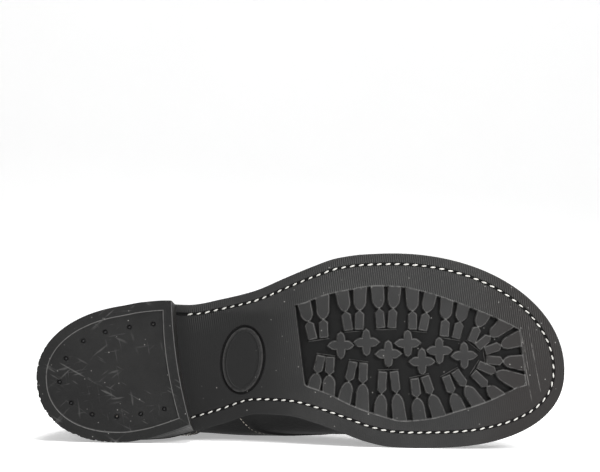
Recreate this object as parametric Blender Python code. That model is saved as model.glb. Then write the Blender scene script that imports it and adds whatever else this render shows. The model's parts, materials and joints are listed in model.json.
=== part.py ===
"""Lace-up work boot for the right foot, lying on its inner side.

The boot is designed standing: x runs from the back of the heel to the toe, y towards the inner
side of the foot, z up from the floor that the sole stands on. The last lines lay it on its side.
All lengths are metres.
"""
import bpy
import bmesh
from collections import namedtuple
from functools import lru_cache
from math import acos, atan2, cos, pi, radians, sin
from mathutils import Matrix, Vector
from mathutils.geometry import delaunay_2d_cdt

# Driving sizes of the last and the sole
SOLE_LENGTH = 0.300
BALL_WIDTH = 0.1101
HEEL_HEIGHT = 0.027
TOE_SPRING = 0.013
INSTEP_HEIGHT = 0.097
COLLAR_HEIGHT = 0.190
ANKLE_WIDTH = 0.069
ANKLE_LATERAL = 0.53

# Thicknesses and clearances
OUTSOLE = 0.0065
WELT = 0.0038
INSOLE = 0.0036
TOP_LIFT = 0.0065
WALL = 0.0020
QUARTER_STEP = 0.0012
CUFF_STEP = 0.0016
CUFF_ROLL = 0.4
OVERLAY = 0.0014
TONGUE = 0.0030
GAP = 0.0003
WELT_INSET = 0.0006
TONGUE_CLEARANCE = 0.0017
FEATHER_GAP = 0.0009
OVERLAY_GAP = 0.0006

# Sole relief
LUG_DEPTH = 0.0030
LUG_WIDTH = 0.0080
INNER_LUG = 0.0043
CROSS_SPAN = 0.0144
CROSS_ARM = 0.0044
CROSS_HEAD = 0.0038
PLATE_LENGTH = 0.037
PLATE_WIDTH = 0.023
PLATE_GROOVE = 0.0015
PLATE_DEPTH = 0.0010
PLATE_TURN = radians(98.0)
RIM_WIDTH = 0.0057
RIM_DEPTH = 0.0006
BREAST = 0.0825
BREAST_SLANT = 0.134
BREAST_RAKE = 0.0025
HEEL_STEPS = 11
SEAT_INSET = 0.0005
WELT_GRIP = 0.0090

# Where the arch starts, where it ends and where the toe spring starts, as shares of the length
ARCH_AND_SPRING = (0.297, 0.625, 0.755)
SPRING_POWER = 1.8

# Round ends of the sole, seen from below
HEEL_ROUND = 0.060
HEEL_POWER_MEDIAL = 2.2
TOE_ROUND_LATERAL = 0.100
TOE_ROUND_MEDIAL = 0.075
TOE_POWER_MEDIAL = 2.3

# The heel tip's round end, and the upper's, which are a little squarer
TIP_ROUND_LATERAL = 0.062
TIP_POWER_LATERAL = 2.1
TIP_ROUND_MEDIAL = 0.048
TIP_POWER_MEDIAL = 2.25
UPPER_HEEL_POWER = 2.15
UPPER_TOE_REACH_MEDIAL = 0.86
WAIST_SHAFT = 0.30

# Throat, eyelets and lace
THROAT_GAP = 0.019
THROAT_POWER = 0.6
EYELET_PAIRS = 7
EYELET_RADIUS = 0.0047
EYELET_CROWN = 0.0038
EYELET_HOLE = 0.0024
EYELET_HEIGHT = 0.0012
EYELET_SEAT = 0.0006
EYELET_STEPS = 9
LACE_RADIUS = 0.0019
LACE_STEPS = 6
LACE_SIDES = 4
LACE_OVER_EYELET = 0.0086
LACE_OVER_TONGUE = 0.0032
LACE_RISE_POWER = 0.6
STAY_WIDTH = 0.021

# Turns that bring the boot down on three points of its side, and steps that narrow a search
SETTLING_ROUNDS = 12
HALVINGS = 30

Sole = namedtuple("Sole", "along lateral medial ledge")

# along is a share of the sole's length, the others are shares of the ball's width
SOLE_SECTIONS = [
    Sole(0.000, 0.366, 0.338, 0.034),
    Sole(0.160, 0.368, 0.340, 0.034),
    Sole(0.230, 0.374, 0.335, 0.034),
    Sole(0.285, 0.366, 0.305, 0.034),
    Sole(0.350, 0.394, 0.258, 0.036),
    Sole(0.410, 0.430, 0.212, 0.038),
    Sole(0.470, 0.493, 0.220, 0.042),
    Sole(0.520, 0.545, 0.256, 0.050),
    Sole(0.570, 0.588, 0.306, 0.060),
    Sole(0.620, 0.604, 0.358, 0.066),
    Sole(0.665, 0.607, 0.385, 0.068),
    Sole(0.715, 0.607, 0.393, 0.068),
    Sole(1.000, 0.607, 0.393, 0.068),
]

# The last's plan a finger's width above the welt, in the same shares
LAST_SECTIONS = [
    Sole(0.000, 0.330, 0.288, 0),
    Sole(0.200, 0.330, 0.298, 0),
    Sole(0.300, 0.350, 0.312, 0),
    Sole(0.400, 0.390, 0.328, 0),
    Sole(0.500, 0.445, 0.332, 0),
    Sole(0.600, 0.520, 0.338, 0),
    Sole(0.680, 0.548, 0.346, 0),
    Sole(1.000, 0.548, 0.346, 0),
]

Tread = namedtuple("Tread", "along lateral medial")

# Heel tip seen from below, as shares of sole length and ball width
HEEL_TREAD = [
    Tread(0.000, 0.368, 0.336),
    Tread(0.160, 0.369, 0.336),
    Tread(0.200, 0.379, 0.323),
    Tread(0.240, 0.386, 0.294),
    Tread(0.290, 0.380, 0.248),
]

# Edge of the sunk forefoot panel, from its rear to its blunt toe end
PANEL_EDGE = [
    Tread(0.497, 0.352, 0.060),
    Tread(0.545, 0.401, 0.108),
    Tread(0.590, 0.425, 0.170),
    Tread(0.640, 0.443, 0.222),
    Tread(0.690, 0.435, 0.256),
    Tread(0.740, 0.402, 0.246),
    Tread(0.790, 0.355, 0.211),
    Tread(0.840, 0.301, 0.172),
    Tread(0.885, 0.246, 0.122),
    Tread(0.914, 0.204, 0.084),
]

# How far each end's corner runs along the sole, as a share of its distance from the middle line
PANEL_REAR_SLANT_LATERAL = 0.075
PANEL_REAR_SLANT_MEDIAL = 0.298
PANEL_TOE_SLANT_MEDIAL = 0.330

Pair = namedtuple("Pair", "edge_along edge_side end_along end_side spread meet")

# Pairs of lugs: the middle of their outer ends and of their inner ends, then how far apart
# the two lugs are at each end; along is a share of the sole's length, the rest of the ball's width
LUG_PAIRS = [
    Pair(0.523, -0.376, 0.532, -0.180, 0.098, 0.058),
    Pair(0.595, -0.425, 0.599, -0.220, 0.094, 0.055),
    Pair(0.661, -0.439, 0.660, -0.227, 0.091, 0.056),
    Pair(0.728, -0.409, 0.719, -0.214, 0.096, 0.052),
    Pair(0.792, -0.354, 0.780, -0.173, 0.091, 0.062),
    Pair(0.867, -0.272, 0.826, -0.133, 0.124, 0.042),
    Pair(0.914, -0.094, 0.848, -0.074, 0.124, 0.046),
    Pair(0.892, 0.113, 0.828, -0.005, 0.128, 0.050),
    Pair(0.813, 0.195, 0.779, 0.018, 0.103, 0.054),
    Pair(0.737, 0.237, 0.721, 0.035, 0.101, 0.054),
    Pair(0.663, 0.242, 0.662, 0.002, 0.101, 0.057),
    Pair(0.594, 0.171, 0.606, -0.047, 0.097, 0.052),
    Pair(0.534, 0.111, 0.545, -0.081, 0.082, 0.047),
]

Corner = namedtuple("Corner", "along half")

# Corners on one side of a lug, from its inner end outwards: shares of its length and of its
# half-width. The outer lug starts a little under the band, the inner one starts in a point.
LUG_OVERRUN = 0.0020
OUTER_LUG_CORNERS = [Corner(0.500, 0.270), Corner(0.400, 0.670)]
INNER_LUG_CORNERS = [Corner(1.0, 1.0), Corner(0.635, 1.0)]
INNER_LUG_POINT = 0.545

# Corners of a quarter of a cross, from the tip of its long arm to the side of its short one
CROSS_CORNERS = [Corner(0.68, 0.85), Corner(0.30, 1.0)]
CROSS_HEAD_CORNERS = [Corner(1.0, 0.58), Corner(0.86, 0.78)]

Spot = namedtuple("Spot", "along side")

# Centres of the crosses along the middle of the panel
CROSSES = [
    Spot(0.574, -0.139),
    Spot(0.622, -0.152),
    Spot(0.663, -0.091),
    Spot(0.700, -0.144),
    Spot(0.726, -0.049),
    Spot(0.759, -0.103),
    Spot(0.806, -0.075),
]
PLATE_CENTRE = Spot(0.386, -0.072)

Ring = namedtuple("Ring", "ring back rise_back front rise_front foot shaft toe_round heel_round")

# Rings of the upper from the welt to the collar and on to the tongue's tip. back, front and the
# reach of the round ends are shares of the sole's length. A rise of 1 is the instep height and 2
# the collar height. foot goes from the welt's plan (0) to the last's (1), shaft from the last's
# plan (0) to the ankle's oval (1).
RINGS = [
    Ring(0, 0.0150, 0.000, 0.9770, 0.000, 0.00, 0.00, 0.310, 0.190),
    Ring(1, 0.0130, 0.133, 0.9830, 0.095, 0.55, 0.00, 0.312, 0.190),
    Ring(2, 0.0118, 0.276, 0.9800, 0.255, 0.90, 0.00, 0.315, 0.190),
    Ring(3, 0.0116, 0.429, 0.9600, 0.405, 1.00, 0.02, 0.420, 0.185),
    Ring(4, 0.0126, 0.569, 0.9200, 0.525, 1.00, 0.06, 0.560, 0.180),
    Ring(5, 0.0158, 0.701, 0.8640, 0.615, 1.00, 0.12, 0.650, 0.175),
    Ring(6, 0.0212, 0.820, 0.7990, 0.672, 1.00, 0.20, 0.645, 0.170),
    Ring(7, 0.0280, 0.932, 0.7300, 0.752, 1.00, 0.30, 0.520, 0.165),
    Ring(8, 0.0360, 1.048, 0.6610, 0.858, 1.00, 0.42, 0.420, 0.160),
    Ring(9, 0.0430, 1.177, 0.5960, 1.000, 1.00, 0.56, 0.355, 0.158),
    Ring(10, 0.0480, 1.308, 0.5400, 1.150, 1.00, 0.72, 0.290, 0.157),
    Ring(11, 0.0490, 1.431, 0.4940, 1.310, 1.00, 0.86, 0.245, 0.157),
    Ring(12, 0.0475, 1.560, 0.4600, 1.480, 1.00, 0.95, 0.212, 0.160),
    Ring(13, 0.0430, 1.683, 0.4380, 1.650, 1.00, 1.00, 0.196, 0.165),
    Ring(14, 0.0370, 1.814, 0.4250, 1.830, 1.00, 1.00, 0.190, 0.170),
    Ring(15, 0.0310, 1.967, 0.4190, 2.000, 1.00, 1.00, 0.187, 0.172),
    Ring(16, 0.0280, 2.078, 0.4180, 2.140, 1.00, 1.00, 0.187, 0.172),
]
THROAT_RING = 7.0
THROAT_WIDE_RING = 8.6
CUFF_RING = 13.6
COLLAR_RING = 15.0
STEP_RUN = 0.07
UPPER_SHARP = 50.0

# Rows of the upper's wall, in rings, with a close pair at each step across it
UPPER_ROWS = [0, 0.5, 1, 1.5, 2, 3, 4, 5, 6, 6.5, THROAT_RING - STEP_RUN, THROAT_RING, 7.5,
              8, THROAT_WIDE_RING, 9.5, 10.5, 11.5, 12.5, CUFF_RING - STEP_RUN, CUFF_RING, 14.3, 14.75,
              COLLAR_RING]
COLUMNS_BEHIND_SEAM = 8
COLUMNS_IN_FRONT = 11
SEAM_RUN = 0.006
STAY_ROWS = [7.5, 8, THROAT_WIDE_RING, 9.5, 10.5, 11.5, 12.5, 13.42]
STAY_EDGE = 0.985
EYELET_RING_FIRST = 7.95
EYELET_RING_LAST = 13.10

Seam = namedtuple("Seam", "ring share")

# Front edge of the quarters: the share of the way from the back to the front, at each ring
QUARTER_SEAM = [
    Seam(0.0, 0.405),
    Seam(2.0, 0.470),
    Seam(4.0, 0.600),
    Seam(6.0, 0.790),
    Seam(7.0, 0.895),
    Seam(9.0, 0.860),
    Seam(15.0, 0.840),
]

# Front edge of the outer counter, from the welt up and back to its level top behind the heel
COUNTER_TOP = [
    Seam(0.0, 0.372),
    Seam(2.0, 0.355),
    Seam(4.0, 0.300),
    Seam(5.3, 0.222),
    Seam(6.1, 0.150),
    Seam(6.5, 0.075),
]

# Rows of the tongue: how far it reaches round to each side at each ring
TONGUE_EDGE = [
    Seam(5.6, 0.160),
    Seam(6.4, 0.216),
    Seam(7.2, 0.270),
    Seam(8.0, 0.270),
    Seam(9.0, 0.270),
    Seam(10.0, 0.270),
    Seam(11.0, 0.270),
    Seam(12.0, 0.270),
    Seam(13.0, 0.270),
    Seam(14.0, 0.270),
    Seam(15.0, 0.270),
    Seam(15.7, 0.200),
]
TONGUE_COLUMNS = 9


def smooth(rows, key, column, at):
    """Value of a table's column at a place, through its rows, without overshoot."""
    xs = [getattr(row, key) for row in rows]
    ys = [getattr(row, column) for row in rows]
    if at <= xs[0]:
        return ys[0]
    if at >= xs[-1]:
        return ys[-1]
    slopes = [(ys[i + 1] - ys[i]) / (xs[i + 1] - xs[i]) for i in range(len(xs) - 1)]
    tangents = [slopes[0]]
    for before, after in zip(slopes, slopes[1:]):
        tangents.append(0.0 if before * after <= 0 else 2 * before * after / (before + after))
    tangents.append(slopes[-1])
    i = max(k for k in range(len(xs) - 1) if xs[k] <= at)
    step = xs[i + 1] - xs[i]
    t = (at - xs[i]) / step
    return (
        ys[i] * (2 * t**3 - 3 * t**2 + 1)
        + tangents[i] * step * (t**3 - 2 * t**2 + t)
        + ys[i + 1] * (3 * t**2 - 2 * t**3)
        + tangents[i + 1] * step * (t**3 - t**2)
    )


def round_end(distance, reach, power=2.0):
    """Share of the full width at a distance from a round end."""
    if distance >= reach:
        return 1.0
    return (1 - (1 - max(distance, 0.0) / reach) ** power) ** (1 / power)


def sole_half_widths(x, inset=0.0):
    """Lateral and medial half-widths of the sole's outline, or of one inset from it."""
    share = x / SOLE_LENGTH
    heel = x - inset
    toe = SOLE_LENGTH - inset - x
    lateral = smooth(SOLE_SECTIONS, "along", "lateral", share) * BALL_WIDTH - inset
    medial = smooth(SOLE_SECTIONS, "along", "medial", share) * BALL_WIDTH - inset
    lateral *= round_end(heel, HEEL_ROUND - inset) * round_end(toe, TOE_ROUND_LATERAL - inset)
    medial *= round_end(heel, HEEL_ROUND - inset, HEEL_POWER_MEDIAL)
    medial *= round_end(toe, TOE_ROUND_MEDIAL - inset, TOE_POWER_MEDIAL)
    return lateral, medial


def tread_height(x):
    """Height of the outsole's underside above the floor, with arch and toe spring."""
    arch_start, arch_end, spring_start = (share * SOLE_LENGTH for share in ARCH_AND_SPRING)
    if x <= arch_start:
        return HEEL_HEIGHT
    if x < arch_end:
        s = (x - arch_start) / (arch_end - arch_start)
        return HEEL_HEIGHT * (1 - s) ** 2 * (1 + 2 * s)
    if x <= spring_start:
        return 0.0
    return TOE_SPRING * ((x - spring_start) / (SOLE_LENGTH - spring_start)) ** SPRING_POWER


def feather_height(x):
    """Height where the upper meets the welt."""
    return tread_height(x) + OUTSOLE + GAP + WELT + FEATHER_GAP


def stations(inset=0.0, heel_steps=8, middle_steps=13, toe_steps=10):
    """Places along the sole, closer together at its round ends."""
    heel = HEEL_ROUND - inset
    toe = TOE_ROUND_LATERAL - inset
    places = [inset + heel * (1 - cos(pi / 2 * i / heel_steps)) for i in range(heel_steps + 1)]
    start = places[-1]
    end = SOLE_LENGTH - inset - toe
    places += [start + (end - start) * i / middle_steps for i in range(1, middle_steps)]
    places += [
        SOLE_LENGTH - inset - toe * (1 - cos(pi / 2 * i / toe_steps)) for i in range(toe_steps, -1, -1)
    ]
    return places


def outline(inset=0.0, width=sole_half_widths):
    """Closed outline of the sole: out along the lateral side and back along the medial side."""
    places = stations(inset)
    lateral = [(x, -width(x, inset)[0]) for x in places]
    medial = [(x, width(x, inset)[1]) for x in places[1:-1]]
    return lateral + medial[::-1]


def material(name, colour, roughness, metallic=0.0):
    made = bpy.data.materials.new(name)
    made.use_nodes = True
    shader = made.node_tree.nodes["Principled BSDF"]
    shader.inputs["Base Color"].default_value = (*colour, 1.0)
    shader.inputs["Roughness"].default_value = roughness
    shader.inputs["Metallic"].default_value = metallic
    return made


def add_object(name, vertices, faces, finish, sharp=35.0):
    """A closed solid: doubles merged, faces turned outwards, smooth but for its sharp edges."""
    mesh = bpy.data.meshes.new(name)
    mesh.from_pydata([tuple(v) for v in vertices], [], faces)
    work = bmesh.new()
    work.from_mesh(mesh)
    bmesh.ops.remove_doubles(work, verts=work.verts, dist=0.000002)
    bmesh.ops.dissolve_degenerate(work, edges=work.edges, dist=0.000001)
    bmesh.ops.recalc_face_normals(work, faces=work.faces)
    work.to_mesh(mesh)
    work.free()
    mesh.shade_smooth()
    mesh.set_sharp_from_angle(angle=radians(sharp))
    mesh.materials.append(finish)
    made = bpy.data.objects.new(name, mesh)
    bpy.context.scene.collection.objects.link(made)
    return made


def sheet(name, outer, inner, finish, open_cells=None, closed=False, sharp=35.0):
    """A wall between two grids of points, with rims along its borders.

    closed joins the last column to the first. open_cells tells between which rows the first and
    last columns are apart, for a sheet that is closed below a slit.
    """
    rows, columns = len(outer), len(outer[0])
    vertices = [p for row in outer for p in row] + [p for row in inner for p in row]
    lift = rows * columns
    faces = []
    for i in range(rows - 1):
        for j in range(columns if closed else columns - 1):
            n = (j + 1) % columns
            a, b = i * columns + j, i * columns + n
            c, d = (i + 1) * columns + n, (i + 1) * columns + j
            faces += [(a, b, c), (a, c, d)]
            faces += [(lift + c, lift + b, lift + a), (lift + d, lift + c, lift + a)]
    for i in (0, rows - 1):
        for j in range(columns if closed else columns - 1):
            n = (j + 1) % columns
            faces.append((i * columns + j, i * columns + n, lift + i * columns + n, lift + i * columns + j))
    if not closed:
        for i in range(rows - 1):
            if open_cells is not None and not open_cells[i]:
                continue
            for j in (0, columns - 1):
                a, d = i * columns + j, (i + 1) * columns + j
                faces.append((a, d, lift + d, lift + a))
    return add_object(name, vertices, faces, finish, sharp)


def plate(name, inset, bottom, top, finish):
    """A solid board with the sole's outline, between two heights worked out along it."""
    places = stations(inset)
    vertices = []
    faces = []
    for x in places:
        lateral, medial = sole_half_widths(x, inset)
        for y in (-lateral, medial):
            vertices += [(x, y, bottom(x)), (x, y, top(x))]
    for i in range(len(places) - 1):
        a, b = 4 * i, 4 * (i + 1)
        faces.append((a, b, b + 2, a + 2))
        faces.append((a + 1, a + 3, b + 3, b + 1))
        faces.append((a, a + 1, b + 1, b))
        faces.append((a + 2, b + 2, b + 3, a + 3))
    return add_object(name, vertices, faces, finish)


def turned(points, centre, angle):
    """Points about an origin, turned and moved to a centre."""
    c, s = cos(angle), sin(angle)
    return [(centre[0] + x * c - y * s, centre[1] + x * s + y * c) for x, y in points]


def on_sole(along, side):
    return along * SOLE_LENGTH, side * BALL_WIDTH


def panel_outline():
    """Edge of the sunk forefoot panel, with slanted rear and toe ends."""
    lateral = []
    medial = []
    for row in PANEL_EDGE:
        x = row.along * SOLE_LENGTH
        lateral.append((x, -row.lateral * BALL_WIDTH))
        medial.append((x, row.medial * BALL_WIDTH))
    for line, end, slant in ((lateral, 0, PANEL_REAR_SLANT_LATERAL), (medial, 0, PANEL_REAR_SLANT_MEDIAL),
                             (medial, -1, PANEL_TOE_SLANT_MEDIAL)):
        x, y = line[end]
        line[end] = (x + slant * y, y)
    return lateral + medial[::-1]


def mirrored(side):
    """A closed outline from its upper corners, from right to left, the rest being their mirror."""
    return side + [(x, -y) for x, y in reversed(side) if y]


def lug_outlines():
    """Outer and inner lug of each member of each pair."""
    mean_spread = sum(pair.spread for pair in LUG_PAIRS) / len(LUG_PAIRS)
    shapes = []
    for pair in LUG_PAIRS:
        edge = Vector(on_sole(pair.edge_along, pair.edge_side))
        end = Vector(on_sole(pair.end_along, pair.end_side))
        across = (end - edge).normalized().orthogonal()
        wide = LUG_WIDTH / 2 * pair.spread / mean_spread
        for sign in (-1, 1):
            start = edge + across * sign * pair.spread * BALL_WIDTH / 2
            stop = end + across * sign * pair.meet * BALL_WIDTH / 2
            length = (stop - start).length
            angle = atan2(stop.y - start.y, stop.x - start.x)
            outer = [(corner.along * length, corner.half * LUG_WIDTH / 2) for corner in OUTER_LUG_CORNERS]
            inner = [(corner.along * length, corner.half * INNER_LUG / 2) for corner in INNER_LUG_CORNERS]
            shapes.append(turned(mirrored(outer + [(-LUG_OVERRUN, wide)]), start, angle))
            shapes.append(turned(mirrored(inner + [(INNER_LUG_POINT * length, 0.0)]), start, angle))
    return shapes


def cross_outline():
    """Four-pointed cross: long arms along the sole and house-shaped arms across it."""
    reach = CROSS_SPAN / 2
    quarter = [(reach, 0.0)]
    quarter += [(corner.along * reach, corner.half * CROSS_ARM / 2) for corner in CROSS_CORNERS]
    quarter += [(corner.along * CROSS_HEAD / 2, corner.half * reach) for corner in CROSS_HEAD_CORNERS]
    half = quarter + [(0.0, reach)] + [(-x, y) for x, y in reversed(quarter)]
    return mirrored(half)


def oval(length, width, steps=28):
    angles = [2 * pi * i / steps for i in range(steps)]
    return [(length / 2 * cos(angle), width / 2 * sin(angle)) for angle in angles]


def build_outsole(finish):
    """The outsole's relief is laid out in plan, then each patch is set to its own depth."""
    edge = outline()
    shapes = [(edge, 0.0), (panel_outline(), LUG_DEPTH)]
    shapes += [(points, 0.0) for points in lug_outlines()]
    for spot in CROSSES:
        shapes.append((turned(cross_outline(), on_sole(*spot), 0.0), 0.0))
    centre = on_sole(*PLATE_CENTRE)
    for groove, depth in ((2 * PLATE_GROOVE, PLATE_DEPTH), (0.0, 0.0)):
        edge_line = oval(PLATE_LENGTH + groove, PLATE_WIDTH + groove)
        shapes.append((turned(edge_line, centre, PLATE_TURN), depth))
    points, faces, links = [], [], []
    for shape, depth in shapes:
        faces.append(list(range(len(points), len(points) + len(shape))))
        points += [Vector(p) for p in shape]
    half = len(stations())
    for i in range(1, half - 1):
        if edge[i][0] > BREAST:
            links.append((i, len(edge) - i))
    flat_points, _, patches, _, _, owners = delaunay_2d_cdt(points, links, faces, 0, 0.0000005, True)
    depths = {}
    for patch, owner in zip(patches, owners):
        if owner:
            depths[tuple(patch)] = shapes[max(owner)][1]
    corners = {}
    vertices = []
    solid = []
    top_of = {}

    def corner(index, level):
        key = (index, level)
        if key not in corners:
            corners[key] = len(vertices)
            x, y = flat_points[index]
            height = tread_height(x) + (OUTSOLE if level is None else level)
            vertices.append((x, y, height))
        return corners[key]

    sides = {}
    for patch, depth in depths.items():
        solid.append([corner(i, depth) for i in reversed(patch)])
        for a, b in zip(patch, patch[1:] + patch[:1]):
            sides.setdefault((min(a, b), max(a, b)), []).append((a, b, depth))
    for shared in sides.values():
        a, b, depth = shared[0]
        other = shared[1][2] if len(shared) == 2 else None
        if other != depth:
            solid.append([corner(a, depth), corner(b, depth), corner(b, other), corner(a, other)])
    rim = len(edge)
    for i in range(half - 1):
        lateral = [i, i + 1]
        medial = [(rim - i - 1) % rim, (rim - i) % rim]
        loop = []
        for index in lateral + medial:
            if index not in loop:
                loop.append(index)
        solid.append([corner(index, None) for index in loop])
    return add_object("outsole", vertices, solid, finish, 30.0)


def build_welt(finish):
    """A strip on the outsole that the upper is sewn to, open in the middle."""
    low, high = OUTSOLE + GAP, OUTSOLE + GAP + WELT
    outer, inner = (
        [[(x, y, tread_height(x) + lift) for x, y in outline(inset)] for lift in (low, high)]
        for inset in (WELT_INSET, WELT_INSET + WELT_GRIP)
    )
    return sheet("welt", outer, inner, finish, closed=True)


def heel_outline(share, inset=0.0):
    """Outline of the heel at a share of its height, from its tread to the seat."""
    points = []
    for side, row, round_reach, power in (
        (-1, "lateral", TIP_ROUND_LATERAL, TIP_POWER_LATERAL),
        (1, "medial", TIP_ROUND_MEDIAL, TIP_POWER_MEDIAL),
    ):
        reach = BREAST + BREAST_RAKE * share - inset
        tread = smooth(HEEL_TREAD, "along", row, reach / SOLE_LENGTH) * BALL_WIDTH
        end = reach + BREAST_SLANT * side * (tread - inset)
        line = []
        for i in range(HEEL_STEPS + 1):
            x = inset + (end - inset) * (1 - cos(pi / 2 * i / HEEL_STEPS))
            below = smooth(HEEL_TREAD, "along", row, x / SOLE_LENGTH) * BALL_WIDTH - inset
            below *= round_end(x - inset, round_reach - inset, power)
            above = sole_half_widths(x, inset)[0 if side < 0 else 1] - SEAT_INSET
            line.append((x, side * (below * (1 - share) + above * share)))
        points += line[::-1] if side < 0 else line[1:]
    return points


def build_heel_block(finish):
    low, high = TOP_LIFT + GAP, HEEL_HEIGHT - GAP
    levels = [low, (low + high) / 2, high]
    return stack("heel_block", [(heel_outline(z / HEEL_HEIGHT), z) for z in levels], finish)


def build_top_lift(finish):
    """Heel tip: a flat rim on the floor round a field that is sunk a little."""
    inner = heel_outline(0.0, RIM_WIDTH)
    levels = [(heel_outline(TOP_LIFT / HEEL_HEIGHT), TOP_LIFT), (heel_outline(0.0), 0.0),
              (inner, 0.0), (inner, RIM_DEPTH)]
    return stack("top_lift", levels, finish)


def stack(name, levels, finish):
    """A solid through closed outlines at given heights, closed by flat ends."""
    count = len(levels[0][0])
    vertices = [(x, y, z) for points, z in levels for x, y in points]
    faces = [list(range(count)), list(range((len(levels) - 1) * count, len(levels) * count))]
    for i in range(len(levels) - 1):
        for j in range(count):
            n = (j + 1) % count
            faces.append((i * count + j, i * count + n, (i + 1) * count + n, (i + 1) * count + j))
    return add_object(name, vertices, faces, finish)


@lru_cache(None)
def ring_at(ring):
    """All columns of the ring table at a place between its rows."""
    return Ring(ring, *[smooth(RINGS, "ring", column, ring) for column in Ring._fields[1:]])


def plan_half_width(x, side, row):
    """Half-width of the upper's plan before its ends are rounded."""
    share = x / SOLE_LENGTH
    column = "lateral" if side < 0 else "medial"
    ledge = smooth(SOLE_SECTIONS, "along", "ledge", share)
    welt = smooth(SOLE_SECTIONS, "along", column, share) - ledge
    last = smooth(LAST_SECTIONS, "along", column, share)
    ankle = ANKLE_WIDTH * (ANKLE_LATERAL if side < 0 else 1 - ANKLE_LATERAL)
    foot = (welt + (last - welt) * row.foot) * BALL_WIDTH
    return foot + (ankle - foot) * row.shaft


def half_width_at(share, side, row):
    """Half-width of a ring at a share of the way from its back to its front."""
    back, front = row.back * SOLE_LENGTH, row.front * SOLE_LENGTH
    x = back + (front - back) * share
    toe_reach = row.toe_round * SOLE_LENGTH
    toe_power = 2.0
    if side > 0:
        onto_shaft = min(1.0, row.shaft / WAIST_SHAFT)
        toe_reach *= UPPER_TOE_REACH_MEDIAL + (1 - UPPER_TOE_REACH_MEDIAL) * onto_shaft
        toe_power += (TOE_POWER_MEDIAL - 2.0) * (1 - row.shaft)
    wide = plan_half_width(x, side, row)
    wide *= round_end(x - back, row.heel_round * SOLE_LENGTH, UPPER_HEEL_POWER)
    return wide * round_end(front - x, toe_reach, toe_power)


def last_above(value, limit, low, high):
    """Where a falling function of one number comes down to a limit, by halving."""
    for _ in range(HALVINGS):
        middle = (low + high) / 2
        if value(middle) > limit:
            low = middle
        else:
            high = middle
    return low


def throat_gap(ring):
    """Width of the throat's opening at a ring, zero below it."""
    if ring <= THROAT_RING:
        return 0.0
    return THROAT_GAP * min(1.0, (ring - THROAT_RING) / (THROAT_WIDE_RING - THROAT_RING)) ** THROAT_POWER


@lru_cache(None)
def front_share(ring, side):
    """How far forward a ring's side goes: to the throat's edge, or to the front where closed."""
    gap = throat_gap(ring) / 2
    if gap == 0.0:
        return 1.0
    row = ring_at(ring)
    return last_above(lambda share: half_width_at(share, side, row), gap, 0.5, 1.0)


def share_at(ring, around, side, closed):
    """Share of the way from back to front for a place round a ring, denser near both ends."""
    reach = 1.0 if closed else front_share(ring, side)
    return reach * (1 - cos(pi * abs(around))) / 2


def place(ring, share, side):
    """A point on the upper's base surface."""
    row = ring_at(ring)
    x = (row.back + (row.front - row.back) * share) * SOLE_LENGTH
    rise = row.rise_back + (row.rise_front - row.rise_back) * share
    base = feather_height(x)
    straight = base + rise * (COLLAR_HEIGHT - base) / 2
    z = straight + (INSTEP_HEIGHT - (base + COLLAR_HEIGHT) / 2) * rise * (2 - rise)
    return Vector((x, side * half_width_at(share, side, row), z))


def surface(ring, around, closed=False):
    """A point on the upper: around runs from -1, lateral front, over 0, the back, to 1."""
    side = 1 if around >= 0 else -1
    return place(ring, share_at(ring, around, side, closed), side)


def surface_normal(ring, around, closed=False):
    """Direction out of the upper's wall."""
    step, rise = 0.004, 0.05
    side = 1 if around >= 0 else -1
    share = share_at(ring, around, side, closed)
    up = place(min(ring + rise, RINGS[-1].ring), share, side) - place(max(ring - rise, 0.0), share, side)
    before = surface(ring, max(around - step, -1.0), closed)
    after = surface(ring, min(around + step, 1.0), closed)
    normal = up.cross(after - before)
    normal.z *= min(1.0, ring)
    normal.normalize()
    if abs(around) > 1 - step and (closed or throat_gap(ring) == 0.0):
        normal.y = 0.0
        normal.normalize()
    return normal


def shifted(ring, around, offset, closed=False):
    return surface(ring, around, closed) + surface_normal(ring, around, closed) * offset


def seam_around(table, ring):
    return smooth(table, "ring", "share", ring)


def around_columns(ring):
    """Places round a ring, with two close together at the quarter's front edge."""
    seam = seam_around(QUARTER_SEAM, ring)
    start = seam + SEAM_RUN
    behind = [seam * i / COLUMNS_BEHIND_SEAM for i in range(COLUMNS_BEHIND_SEAM + 1)]
    front = [start + (1 - start) * i / COLUMNS_IN_FRONT for i in range(COLUMNS_IN_FRONT + 1)]
    half = behind + front
    return [-a for a in half[:0:-1]] + half


def wall_outside(ring, around):
    """How far the outer face stands off the base surface: the quarter's and the cuff's steps."""
    seam = seam_around(QUARTER_SEAM, ring)
    out = QUARTER_STEP if abs(around) <= seam or ring >= THROAT_RING else 0.0
    if ring >= CUFF_RING:
        out += CUFF_STEP * (1.0 if ring < COLLAR_RING else CUFF_ROLL)
    return out


@lru_cache(None)
def upper_row(ring):
    """Outer and inner points of a row of the upper, and the directions out of its wall."""
    places = around_columns(ring)
    outer = [shifted(ring, around, wall_outside(ring, around)) for around in places]
    inner = [shifted(ring, around, -WALL) for around in places]
    if ring <= THROAT_RING:
        for row in (outer, inner):
            middle = (row[0] + row[-1]) / 2
            row[0], row[-1] = middle.copy(), middle.copy()
    return outer, inner, [surface_normal(ring, around) for around in places]


def build_upper(finish):
    """One wall from the welt to the collar, thicker behind the quarter's edge and at the cuff."""
    outer = [upper_row(ring)[0] for ring in UPPER_ROWS]
    inner = [upper_row(ring)[1] for ring in UPPER_ROWS]
    open_cells = [high > THROAT_RING for high in UPPER_ROWS[1:]]
    return sheet("upper", outer, inner, finish, open_cells, sharp=UPPER_SHARP)


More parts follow.
